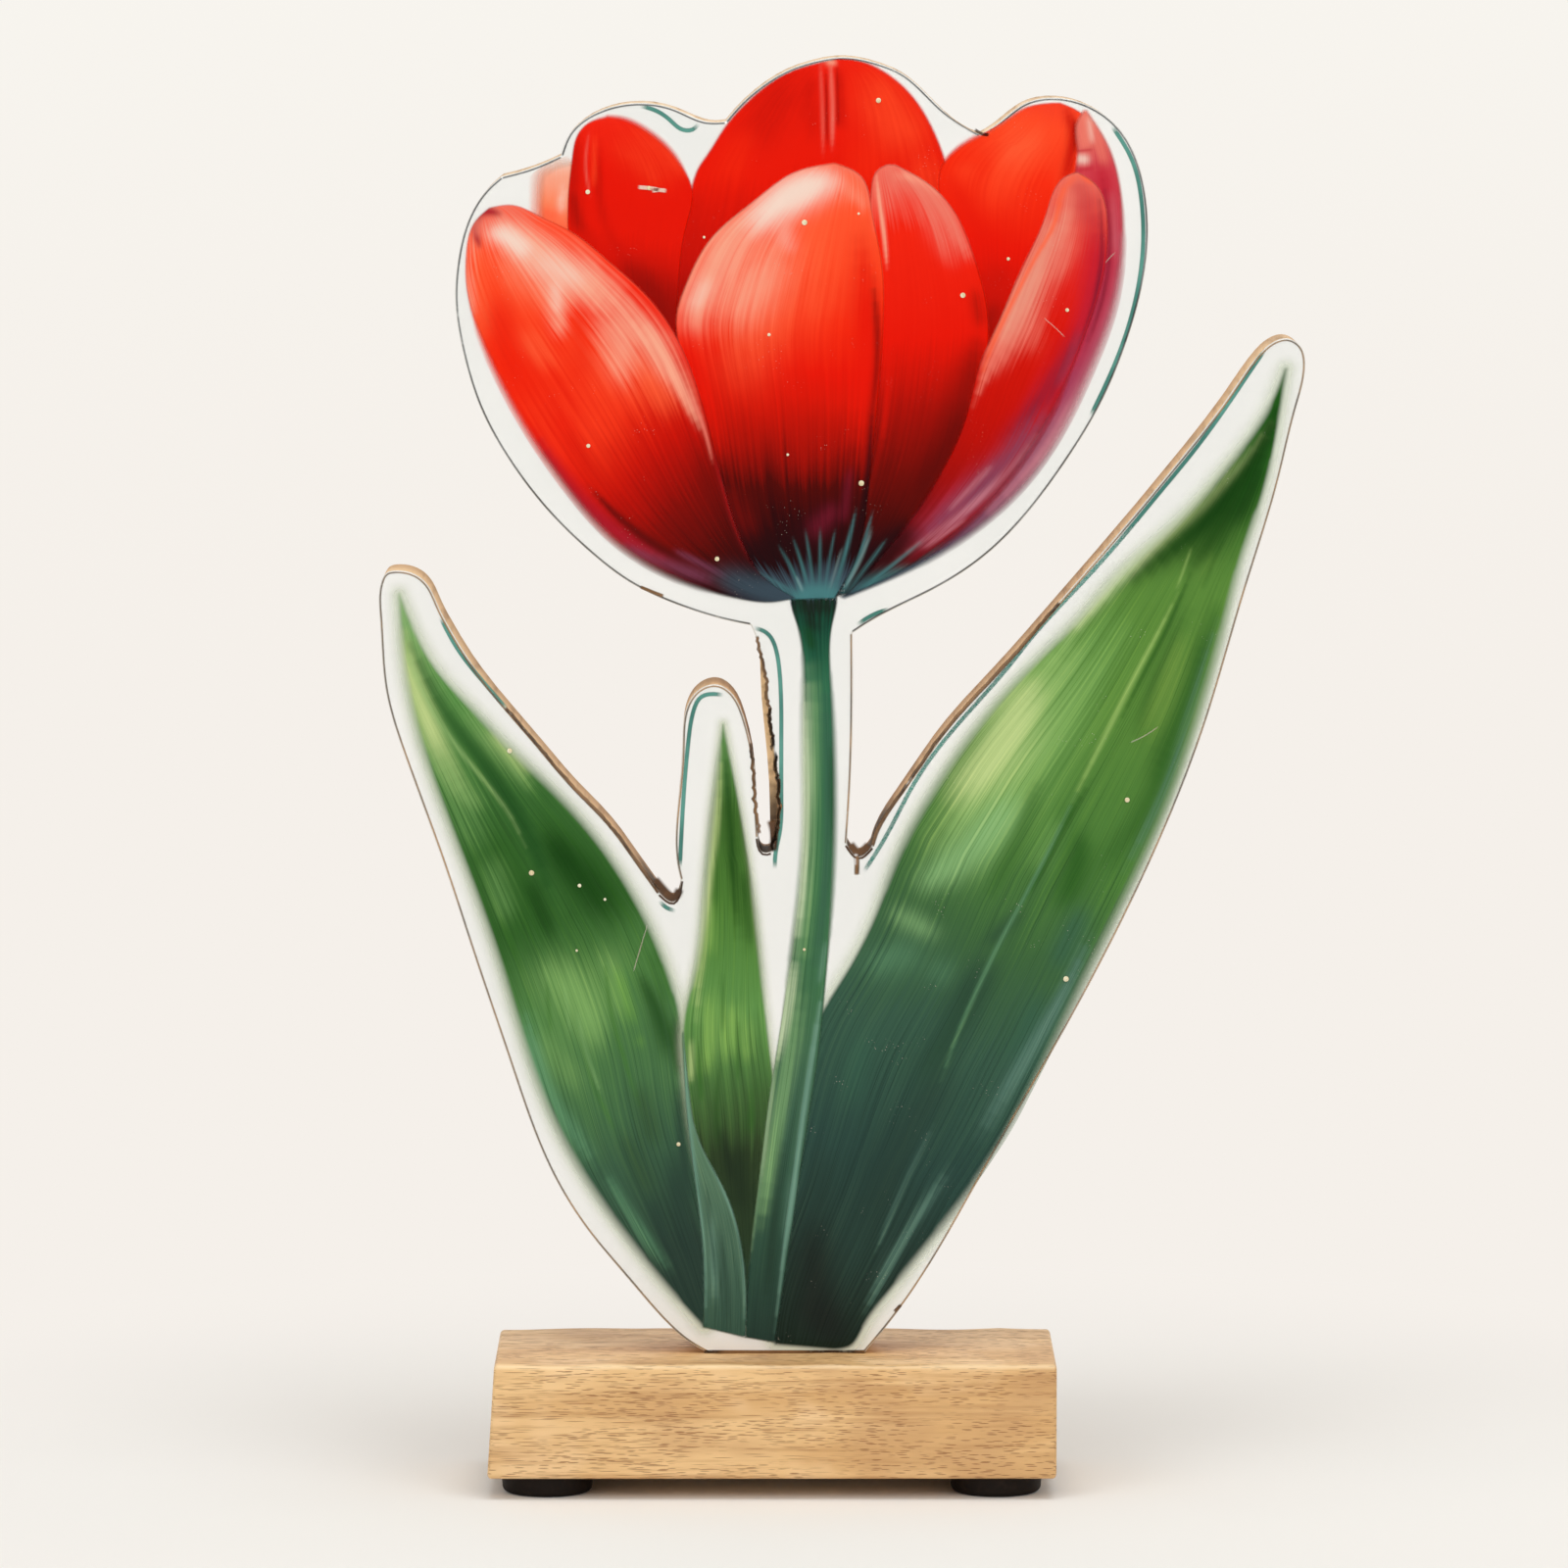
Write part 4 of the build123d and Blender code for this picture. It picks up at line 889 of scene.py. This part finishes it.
printed_area(
    "leaf_right", 0,
    [(428, 6), (416, 30), (440, 150), (472, 256), (508, 300), (537, 342), (561, 388), (592, 430),
     (635, 476), (693, 525), (757, 571), (799, 605), (863, 646), (916, 688), (958, 729),
     (978, 762)],
    [(492, 2), (511, 5), (524, 19), (550, 45), (592, 82), (651, 136), (714, 213), (765, 289),
     (817, 365), (863, 441), (897, 517), (914, 563), (932, 616), (953, 661), (969, 711),
     (980, 762)],
    [(0.0, black_leaf), (0.08, tone(34, 52, 44)), (0.2, tone(42, 70, 62)), (0.32, tone(54, 88, 70)),
     (0.42, tone(60, 100, 58)), (0.52, tone(74, 122, 54)), (0.66, tone(88, 134, 56)),
     (0.8, tone(88, 134, 56)), (0.9, tone(44, 96, 34)), (1.0, tone(28, 84, 20))],
    [(tone(122, 170, 92), 0.7,
      (0.6, (1130, 640, 24), (1080, 710, 34), (1040, 790, 34), (990, 870, 30)),
      (0.5, (1060, 880, 12), (1080, 840, 10))),
     (tone(150, 188, 110), 0.7,
      (0.7, (1090, 660, 18), (1050, 730, 26), (1010, 800, 26), (960, 860, 24))),
     (tone(190, 210, 140), 0.7,
      (0.85, (1056, 700, 10), (1032, 740, 20), (1010, 774, 22), (980, 806, 20)),
      (0.5, (1130, 600, 8), (1090, 640, 9)),
      (0.6, (1290, 440, 4), (1244, 500, 7), (1180, 556, 7), (1120, 606, 6))),
     (tone(140, 186, 124), 0.7,
      (0.7, (940, 900, 14), (972, 880, 18), (1002, 850, 20), (1030, 820, 16)),
      (0.5, (912, 930, 14), (950, 950, 12))),
     (tone(84, 130, 96), 0.6, (0.6, (890, 980, 18), (930, 970, 20)), (0.4, (960, 990, 16))),
     (dark_leaf, 0.5, (0.95, (1302, 412, 4), (1288, 450, 8), (1264, 490, 13), (1228, 532, 17),
      (1190, 564, 15), (1152, 592, 8)), (0.6, (1286, 480, 8), (1264, 530, 10)),
      (0.8, (1262, 500, 14), (1236, 550, 16), (1214, 580, 12))),
     (deep_leaf, 0.7, (0.6, (1210, 620, 9), (1180, 690, 9), (1160, 750, 9)),
      (0.85, (1230, 650, 9), (1206, 724, 13), (1178, 790, 14)),
      (0.7, (1196, 760, 12), (1170, 820, 14), (1130, 880, 14)),
      (0.5, (1240, 620, 8), (1220, 680, 8)), (0.5, (1060, 800, 8), (1040, 850, 9), (1010, 910, 9)),
      (0.95, (1104, 850, 12), (1098, 884, 16), (1084, 920, 12))),
     (tone(108, 146, 64), 0.7, (0.6, (1206, 650, 10), (1186, 710, 12), (1170, 750, 10)),
      (0.35, (1220, 590, 7), (1236, 570, 6))),
     (tone(204, 220, 174), 0.3, (0.9, (1280, 420, 4), (1252, 462, 6), (1222, 500, 7),
      (1178, 545, 8), (1132, 594, 8), (1090, 642, 6))),
     (tone(52, 92, 74), 0.6, (0.6, (1104, 930, 14), (1080, 980, 14)),
      (0.5, (1060, 1020, 14), (1040, 1080, 16)), (0.4, (880, 1060, 16), (870, 1120, 16))),
     (tone(90, 126, 112), 0.7,
      (0.7, (1110, 960, 6), (1076, 1030, 7), (1040, 1090, 8), (1004, 1150, 8)),
      (0.7, (966, 1196, 6), (936, 1240, 6), (906, 1290, 6), (886, 1330, 5)),
      (0.4, (950, 1150, 3), (916, 1220, 3), (896, 1270, 2.5)),
      (0.4, (1240, 640, 4), (1216, 720, 5), (1190, 800, 5), (1150, 880, 5))),
     (tone(40, 70, 52), 0.7, (0.85, (1004, 984, 16), (980, 1030, 20), (940, 1100, 18)),
      (0.5, (1010, 960, 9), (1040, 930, 8))),
     (night_leaf, 0.6, (0.6, (960, 1100, 20), (910, 1180, 26), (880, 1250, 22)),
      (0.5, (840, 1180, 12), (830, 1260, 14)),
      (0.5, (930, 1170, 4), (900, 1230, 5), (880, 1290, 5))),
     (tone(26, 32, 28), 0.5, (0.7, (830, 1250, 14), (830, 1310, 20), (840, 1350, 22)),
      (0.5, (860, 1360, 16), (820, 1330, 16))),
     (tone(36, 84, 24), 0.2,
      (0.75, (1216, 580, 2.4), (1190, 640, 2.6), (1168, 684, 2.4), (1142, 736, 2.4)),
      (0.85, (1110, 800, 3), (1086, 842, 3.4), (1062, 888, 3.2), (1038, 926, 2.4)),
      (0.4, (1246, 550, 3), (1226, 600, 3))),
     (tone(160, 194, 108), 0.2, (0.65, (1198, 610, 1.4), (1180, 646, 2), (1160, 684, 2.4),
      (1134, 736, 2.6), (1112, 780, 2.4), (1096, 812, 2)),
      (0.4, (1214, 560, 1.4), (1200, 600, 1.6))),
     (tone(92, 138, 100), 0.2, (0.75, (1096, 812, 1.8), (1070, 866, 2), (1046, 912, 2),
      (1020, 960, 2.2), (996, 1010, 2), (976, 1056, 1.8), (962, 1096, 1.4)))],
    blurs=[(1, (1300, 400, 12), (1200, 530, 14), (1100, 620, 14), (1000, 730, 14), (920, 860, 14),
           (860, 960, 12)), (1, (1290, 500, 10), (1240, 660, 12), (1190, 800, 12), (1130, 940, 12),
           (1060, 1080, 12), (980, 1220, 12), (900, 1320, 12))],
    threads=64, seed=7.1, fine=0.45, glow=tone(222, 230, 208), soft=0.6, streak=0.1, margin=26,
    dust=0.8,
)


# Lines on the face: the printed saw line, sawn and scorched edges with painted shadow, and
# scratches

def line_paint(name, colour, other, soft, run_out, gaps, coverage):
    """Paint of a line: it wavers between two colours, fades at its ends and has gaps."""
    finish = Finish(name)
    drift = finish.noise(finish.place, 90, detail=3)
    shade = finish.mix(drift.rise(0.35, 0.65), colour, other)
    worn = finish.noise(finish.place, 420, detail=2)
    cover = finish.mask("edge").rise(0.0, soft) * finish.mask("end").rise(0.0, run_out)
    cover = cover * (drift + worn * 0.5).rise(gaps, gaps + 0.18) * coverage
    return finish.surface(
        Base_Color=shade, Roughness=0.16, Coat_Weight=0.2, Specular_IOR_Level=0.15, Alpha=cover
    )


cut_line = printed_lines(
    "cut_line", [of_shares(line) for line in saw_line], 5.5, 0,
    line_paint("cut_line_print", saw_teal, tone(66, 128, 116), 0.3, 2.5, 0.3, 0.9),
)
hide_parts("print_cut_line")

notches = [right_notch, small_notch, left_notch]
grey_edges = [flower_right_edge, flower_top_lobe, flower_left_lobe, flower_step, flower_left_edge]
brown_edges = [right_leaf_edge, neck_right, small_leaf_edge, left_leaf_edge]


def edge_lines(name, edges, width, colour, other, gaps, coverage):
    """The thin line of cut print and wood along sawn edges, just inside the outline."""
    lines = printed_lines(
        name, [of_shares(edge) for edge in edges], width, 1,
        line_paint(f"{name}_scorch", colour, other, 0.3, 0.4, gaps, coverage), inward=width / 2,
    )


edge_lines("sawn_edge_grey", grey_edges, 3, tone(120, 122, 122), tone(62, 60, 60), 0.42, 0.85)
edge_lines("sawn_edge_brown", brown_edges, 3, tone(176, 140, 100), tone(104, 92, 78), 0.4, 0.85)
edge_lines("sawn_edge_burnt", notches, 3.4, tone(58, 38, 24), tone(84, 56, 36), 0.0, 1.0)


def ragged(line, count, size):
    """A line made uneven: two products of sine waves push it sideways, by photograph pixels."""
    line = smooth_line(line, count)
    share = np.linspace(0, 1, count)
    push = np.sin(share * 47 + 1) * np.sin(share * 9 + 2) + np.sin(share * 171) * np.sin(share * 23)
    return line + outward(line, 1) * (push * size * pixel)[:, None]


# Scorched sawn edges, with painted shade on the neck's wall and a painted contact shadow among
# them.
scorched = [
    # The neck's sawn left wall: scorched, and darkened lower down as painted shade.
    ragged(of_shares(neck_left), 70, 1.3),
    ragged(of_shares(neck_left[2:]), 50, 1.6),
    ragged(on_face([(765, 756), (768, 790), (771, 830), (775, 850)]), 40, 1.1),
    ragged(of_shares(left_leaf_edge[:6]), 60, 0.35),
    ragged(of_shares(right_leaf_edge[-6:]), 50, 0.35),
    on_face([(652, 598), (664, 603), (677, 608)]), on_face([(992, 133), (1000, 138), (1008, 139)]),
    on_face([(912, 1336), (916, 1332), (920, 1328)]),
    on_face([(874, 870), (874, 882), (873, 892)]),
    # A painted contact shadow along the plaque's foot, where it stands on the block.
    on_face([(716, 1376), (800, 1376.2), (884, 1376)]),
]
scorch = printed_lines(
    "scorched_edge_and_painted_shadow", scorched, 4.4, 2,
    line_paint("scorched_edge_burn_and_painted_shade", tone(52, 34, 22), tone(134, 98, 64), 0.25, 0.6, 0.47, 0.9),
)
burnt = [[(666, 894), (678, 908), (686, 914), (693, 904)], [(785, 834), (789, 850), (787, 868)],
         [(866, 858), (876, 868), (887, 859)]]
charred = printed_lines(
    "charred_notches", [on_face(line) for line in burnt], 12, 2,
    line_paint("charred_notch_burn", tone(62, 42, 28), tone(104, 72, 46), 0.9, 0.9, 0.22, 1.0),
)


def scratches(name, lines, width, strength):
    """Pale scratches in the coat."""
    piece = printed_lines(
        name, [on_face(line) for line in lines], width, 8,
        line_paint(
            f"{name}_line", tone(240, 206, 186), tone(226, 214, 200), 0.15, 0.8, 0.2, strength
        ),
    )


scratches("coat_chip", [
    [(650, 192), (662, 193), (674, 195)], [(664, 196), (672, 195), (681, 196)],
], 4.6, 0.85)
scratches("coat_scratches", [
    [(1063, 325), (1074, 334), (1085, 345)], [(1125, 270), (1131, 263), (1136, 258)],
    [(1152, 757), (1167, 750), (1182, 740)], [(660, 940), (652, 966), (645, 990)],
], 1.8, 0.35)


def bubbles():
    """Small bubbles in the coat, each a closed lentil: a profile turned about its middle,
    its radius the sine and its height a tenth of a millimetre times the cosine."""
    spots = on_face([
        (600, 455), (895, 104), (875, 219), (981, 302), (1087, 317), (784, 342), (820, 228),
        (718, 243), (600, 197), (731, 570), (803, 464), (878, 493), (1027, 265), (590, 902),
        (541, 889), (587, 968), (519, 765), (691, 1165), (820, 967), (1088, 997), (616, 916),
        (662, 193), (1150, 815),
    ])
    # The bubbles are real; their pale cream colour is a painted highlight that stands in for their
    # glints.
    finish = Finish("coat_bubble_painted_glint")
    cloud = finish.noise(finish.place, 900, detail=2)
    colour = finish.mix(cloud.rise(0.3, 0.7), tone(240, 236, 204), tone(222, 204, 160))
    material = finish.surface(
        Base_Color=colour, Roughness=cloud * 0.2 + 0.3, Specular_IOR_Level=0.3
    )
    rise = np.linspace(0, np.pi, 7)[:, None]
    turn = np.linspace(0, 2 * np.pi, 15)[None, :-1]
    grids = []
    for index, spot in enumerate(spots):
        radius = (2.1 + 0.8 * math.sin(index * 2.4)) * pixel
        flat = spot + radius * np.sin(rise)[..., None] * np.stack([np.cos(turn), np.sin(turn)], -1)
        grids.append(at_depth(flat, 0.0002 - 0.0001 * np.cos(rise) + 0 * turn))
    piece = grid_piece("coat_bubbles", grids, material, closed=True, joined=True)
    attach(piece, "root")


bubbles()


# Sawn board, clear coat, block, feet and screws

def board_wood():
    """Sawn board: its edge tan, browner towards the back, scorched across by the blade and
    burnt in the three notches, paler at the top of the flower. Its back has upright grain."""
    finish = Finish("sawn_board_wood")
    depth = finish.part(finish.place, 1)
    across = finish.noise(finish.stretched((420, 30, 420)), detail=3)
    broad = finish.noise(finish.stretched((60, 12, 60)), detail=2)
    layers = finish.noise(finish.stretched((40, 900, 40)), detail=2)
    colour = finish.mix(
        (depth + broad * 0.006).rise(-0.004, 0.012), tone(234, 196, 148), tone(200, 158, 112)
    )
    colour = finish.mix(across.rise(0.45, 0.75) * 0.5, colour, tone(128, 88, 54))
    colour = finish.mix(layers.rise(0.5, 0.7) * 0.25, colour, tone(236, 206, 164))
    colour = finish.mix(broad.rise(0.58, 0.8) * 0.6, colour, tone(84, 56, 34))
    across_face, up_face = finish.part(finish.place, 0), finish.part(finish.place, 2)
    notch_places = of_shares([(317, 351), (424, 400), (519, 386)])
    for spot in notch_places:
        sideways, upwards = across_face - float(spot[0]), up_face - float(spot[1])
        gap = (sideways * sideways + upwards * upwards) ** 0.5
        burnt = (0.011 - gap + broad * 0.006).rise(0.0, 0.008) * (0.007 - depth).rise(0.0, 0.004)
        colour = finish.mix(burnt * 0.85, colour, tone(58, 38, 24))
    colour = finish.mix(up_face.rise(0.23, 0.28) * (0.75 - across), colour, tone(236, 226, 208))
    back_grain = finish.noise(finish.stretched((260, 40, 14)), detail=4, roughness=0.6)
    back_bands = finish.noise(finish.stretched((34, 10, 5)), detail=2, bend=0.8)
    back = finish.mix(back_bands.rise(0.35, 0.65), tone(222, 188, 144), tone(200, 160, 114))
    back = finish.mix(back_grain.rise(0.48, 0.72) * 0.5, back, tone(160, 118, 76))
    colour = finish.mix(depth.rise(0.0086, 0.0089), colour, back)
    height = across + layers * 0.5
    return finish.surface(
        Base_Color=colour, Roughness=across * 0.15 + 0.55, Specular_IOR_Level=0.3,
        Normal=finish.bump(height, 0.0003, 0.5),
    )


def poured_coat():
    """Thick clear coat over the white ground of the print: off-white with a gloss, and a
    little amber where it is cut through at its edge."""
    finish = Finish("poured_coat")
    depth = finish.part(finish.place, 1) - float(face_front)
    cloud = finish.noise(finish.place, 26, detail=2)
    colour = finish.mix(cloud.rise(0.3, 0.7), ground_white, tone(236, 236, 232))
    colour = finish.mix(depth.rise(0.0001, 0.0004) * 0.8, colour, tone(196, 186, 164))
    waves = finish.noise(finish.place, 42, detail=1)
    return finish.surface(
        Base_Color=colour, Roughness=0.14, Coat_Weight=0.3, Coat_Roughness=0.05,
        Specular_IOR_Level=0.3, Normal=finish.bump(waves, 0.0002, 0.25),
    )


def block_wood():
    """Oiled hardwood: warm bands along the length, with short dark pores."""
    finish = Finish("oiled_block_wood")
    across, away, up = (finish.part(finish.place, axis) for axis in range(3))
    bands = finish.noise(finish.stretched((9, 60, 70), (0, 0.06, 0)), detail=3, bend=1.2)
    figure = finish.noise(finish.stretched((30, 420, 700)), detail=4, roughness=0.6)
    patches = finish.noise(finish.stretched((42, 50, 60)), detail=2)
    colour = finish.mix(bands.rise(0.35, 0.65), tone(240, 199, 142), tone(221, 175, 117))
    colour = finish.mix(patches.rise(0.5, 0.66) * 0.5, colour, tone(204, 158, 108))
    colour = finish.mix((0.5 - patches).rise(0.02, 0.14) * 0.4, colour, tone(252, 216, 168))
    colour = finish.mix(figure.rise(0.45, 0.7) * 0.5, colour, tone(184, 134, 82))
    pores = finish.spots(finish.stretched((270, 1300, 2900), (0, 0.05, 0)), 1.0)
    kept = finish.noise(finish.stretched((60, 220, 220)), detail=1) + across * 0.9
    dash = (0.38 - pores).rise(0.0, 0.16) * kept.rise(0.26, 0.5)
    long_pores = finish.spots(finish.stretched((110, 900, 2600), (0, 0.08, 0)), 1.0)
    streaks = (0.34 - long_pores).rise(0.0, 0.14) * (0.0 - across).rise(-0.02, 0.03)
    dash = dash.largest(streaks * 0.8)
    colour = finish.mix(dash * 0.7, colour, tone(140, 86, 40))
    # A painted highlight: a pale line along the block's rounded front top edge.
    painted_edge_highlight = up.rise(0.0281, 0.0291) * (0 - away).rise(0.0235, 0.0245)
    colour = finish.mix(painted_edge_highlight * 0.6, colour, tone(250, 222, 176))
    return finish.surface(
        Base_Color=colour, Roughness=figure * 0.2 + 0.34, Specular_IOR_Level=0.4,
        Normal=finish.bump(figure - dash, 0.0002, 0.5),
    )


def rubber():
    finish = Finish("foot_rubber")
    grain = finish.noise(finish.place, 700, detail=3)
    colour = finish.mix(grain.rise(0.4, 0.8) * 0.5, tone(24, 17, 12), tone(46, 34, 26))
    return finish.surface(
        Base_Color=colour, Roughness=grain * 0.2 + 0.5, Specular_IOR_Level=0.15,
        Normal=finish.bump(grain, 0.0001, 0.3),
    )


def glue():
    finish = Finish("foot_glue")
    grain = finish.noise(finish.place, 400, detail=2)
    colour = finish.mix(grain, tone(206, 200, 186), tone(176, 168, 150))
    return finish.surface(Base_Color=colour, Roughness=grain * 0.2 + 0.5)


def screw_steel():
    finish = Finish("zinc_plated_steel")
    grain = finish.noise(finish.stretched((300, 300, 1600)), detail=2)
    colour = finish.mix(grain, tone(196, 198, 200), tone(168, 168, 164))
    return finish.surface(
        Base_Color=colour, Metallic=1.0, Roughness=grain * 0.2 + 0.25,
        Normal=finish.bump(grain, 0.00005, 0.4),
    )


def ground_print():
    finish = Finish("white_print_ground")
    cloud = finish.noise(finish.place, 60, detail=3)
    colour = finish.mix(cloud, ground_white, tone(230, 230, 224))
    return finish.surface(Base_Color=colour, Roughness=cloud * 0.1 + 0.4)


slot_finishes = {
    "board_wood": board_wood(), "clear_lacquer": poured_coat(), "block_wood": block_wood(),
    "foot_rubber": rubber(), "foot_glue": glue(), "screw_steel": screw_steel(),
    "print_white": ground_print(),
}
node_finishes = {
    "tulip_board": "board_wood", "print_ground": "print_white", "clear_coat": "clear_lacquer",
    "wood_screws": "screw_steel",
    **{f"foot_pad_{place}": "foot_rubber" for place in range(1, 5)},
    **{f"foot_adhesive_{place}": "foot_glue" for place in range(1, 5)},
}
for node, finish_name in node_finishes.items():
    for material_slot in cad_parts[node].material_slots:
        material_slot.material = slot_finishes[finish_name]


def sawn_block():
    """The block: a rounded rectangle of the block's depth and height, carried along its
    length and closed at the ends by rings that shrink to their middle. The left end leans,
    and low waves of under half a millimetre make the long edges slightly uneven."""
    low, high = (np.array(corner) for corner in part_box("base_block"))
    lean, end_round, long_round = 0.0016, 0.0009, 0.0013
    middle, half = (low + high)[1:] / 2, (high - low)[1:] / 2
    corner_steps = np.linspace(0, np.pi / 2, 7)
    turns = np.concatenate([corner_steps + quarter * np.pi / 2 for quarter in range(4)])
    signs = np.repeat([[1, 1], [-1, 1], [-1, -1], [1, -1]], 7, axis=0)
    normal = np.stack([np.cos(turns), np.sin(turns)], -1)
    core = signs * (half - long_round)
    loop = core + normal * long_round
    rings = [(0.0, share * (1 - end_round / half)) for share in [0.0, 0.3, 0.7, 0.93]]
    for turn in np.linspace(0, np.pi / 2, 5):
        rings.append(((1 - np.cos(turn)) * end_round, 1 - (1 - np.sin(turn)) * end_round / half))
    length = high[0] - low[0]
    between = np.linspace(end_round, length - end_round, 60)[1:-1]
    spans = rings + [(along, np.ones(2)) for along in between]
    spans += [(length - along, shrink) for along, shrink in reversed(rings)]
    along = np.array([span[0] for span in spans])[:, None]
    shrink = np.array([span[1] + np.zeros(2) for span in spans])[:, None, :]
    section = middle + loop[None] * shrink
    height_share = (section[..., 1] - low[2]) / (high[2] - low[2])
    share = along / length
    wave = 0.00022 * np.sin(share * 9.1 + 1.0)
    wave = wave + 0.00014 * np.sin(share * 23.0 + section[..., 0] * 60)
    worn = np.abs(wave) * height_share**3
    worn_sides = worn * np.sign(loop[None, :, 0]) * shrink[..., 0]
    section = section - np.stack([worn_sides, worn * (shrink[..., 1] > 0.9)], -1)
    x = low[0] + along + lean * height_share * (1 - share)
    points = np.stack([x, section[..., 0], section[..., 1]], -1)
    piece = grid_piece(
        "wooden_block", [points[:, ::-1]], slot_finishes["block_wood"], closed=True, joined=True
    )
    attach(piece, "root")
    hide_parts("base_block")


sawn_block()


# Camera, at the place and angle worked out from the photograph

camera = bpy.data.objects.new("camera", bpy.data.cameras.new("camera"))
camera.location = (-0.0164, -1.959, 0.354)
camera.rotation_euler = (math.radians(84.12), 0, math.radians(-0.12))
camera.data.sensor_width = 36
camera.data.lens = 9304 / 1600 * 36
bpy.context.scene.collection.objects.link(camera)
bpy.context.scene.camera = camera


# Pale floor that turns up into a backdrop, and soft light

def studio_paper():
    """Pale paper. The floor near the ornament is shaded by the lamps, and farther off the
    paper shows at the full even brightness of a background."""
    finish = Finish("studio_paper")
    across, away = finish.part(finish.place, 0), finish.part(finish.place, 1)
    grain = finish.noise(finish.place, 8, detail=1)
    colour = finish.mix(grain, tone(236, 234, 229), tone(241, 238, 233))
    paper = finish.node("ShaderNodeBsdfDiffuse", {}, {"Color": colour})
    glow_colour = finish.mix(
        finish.part(finish.place, 2).rise(0.0, 0.5), tone(245, 240, 234), tone(249, 247, 241)
    )
    glow = finish.node("ShaderNodeEmission", {}, {"Color": glow_colour, "Strength": 1.0})
    rays = finish.node("ShaderNodeLightPath", output="Is Camera Ray")
    glossy = finish.node("ShaderNodeLightPath", output="Is Glossy Ray")
    through = finish.node("ShaderNodeLightPath", output="Is Transmission Ray")
    seen = rays.largest(glossy).largest(through)
    far = (across * across + away * away) ** 0.5
    amount = far.rise(0.1, 0.3) * seen
    shader = finish.node("ShaderNodeMixShader", {}, {0: amount, 1: paper, 2: glow})
    finish.node("ShaderNodeOutputMaterial", {}, {"Surface": shader})
    return finish.material


def backdrop():
    """A floor 6 m wide that runs back, curves up through a quarter circle and rises."""
    turn = np.linspace(0, np.pi / 2, 17)
    run = np.concatenate([np.linspace(-3, 1.4, 23), 1.4 + 0.8 * np.sin(turn[1:]), [2.2, 2.2]])
    rise = np.concatenate([np.zeros(23), 0.8 - 0.8 * np.cos(turn[1:]), [1.6, 3.2]])
    across = np.linspace(-3, 3, 25)[None, :]
    points = np.stack([across + run[:, None] * 0, run[:, None] + across * 0,
                       rise[:, None] + across * 0], -1)
    piece = grid_piece("backdrop", [points], studio_paper())


backdrop()


def soft_lamp(name, place, aim, size, power):
    lamp = bpy.data.lights.new(name, "AREA")
    lamp.shape, lamp.size, lamp.energy = "DISK", size, power
    holder = bpy.data.objects.new(name, lamp)
    holder.location = place
    towards = np.array(aim, float) - np.array(place, float)
    flat = math.hypot(towards[0], towards[1])
    holder.rotation_euler = (
        math.atan2(flat, -towards[2]), 0, math.atan2(towards[1], towards[0]) - math.pi / 2
    )
    bpy.context.scene.collection.objects.link(holder)


soft_lamp("overhead_lamp", (0.1, -0.3, 1.7), (0, 0, 0.1), 1.2, 12)
soft_lamp("left_lamp", (-1.3, -1.5, 1.3), (0, 0, 0.15), 1.2, 9)
soft_lamp("right_lamp", (1.3, -1.6, 1.1), (0, 0, 0.15), 1.2, 8)

world = bpy.data.worlds.new("room")
world.use_nodes = True
room = world.node_tree.nodes["Background"]
room.inputs["Color"].default_value = (1, 1, 1, 1)
room.inputs["Strength"].default_value = 0.55
bpy.context.scene.world = world
bpy.context.scene.view_settings.view_transform = "Standard"
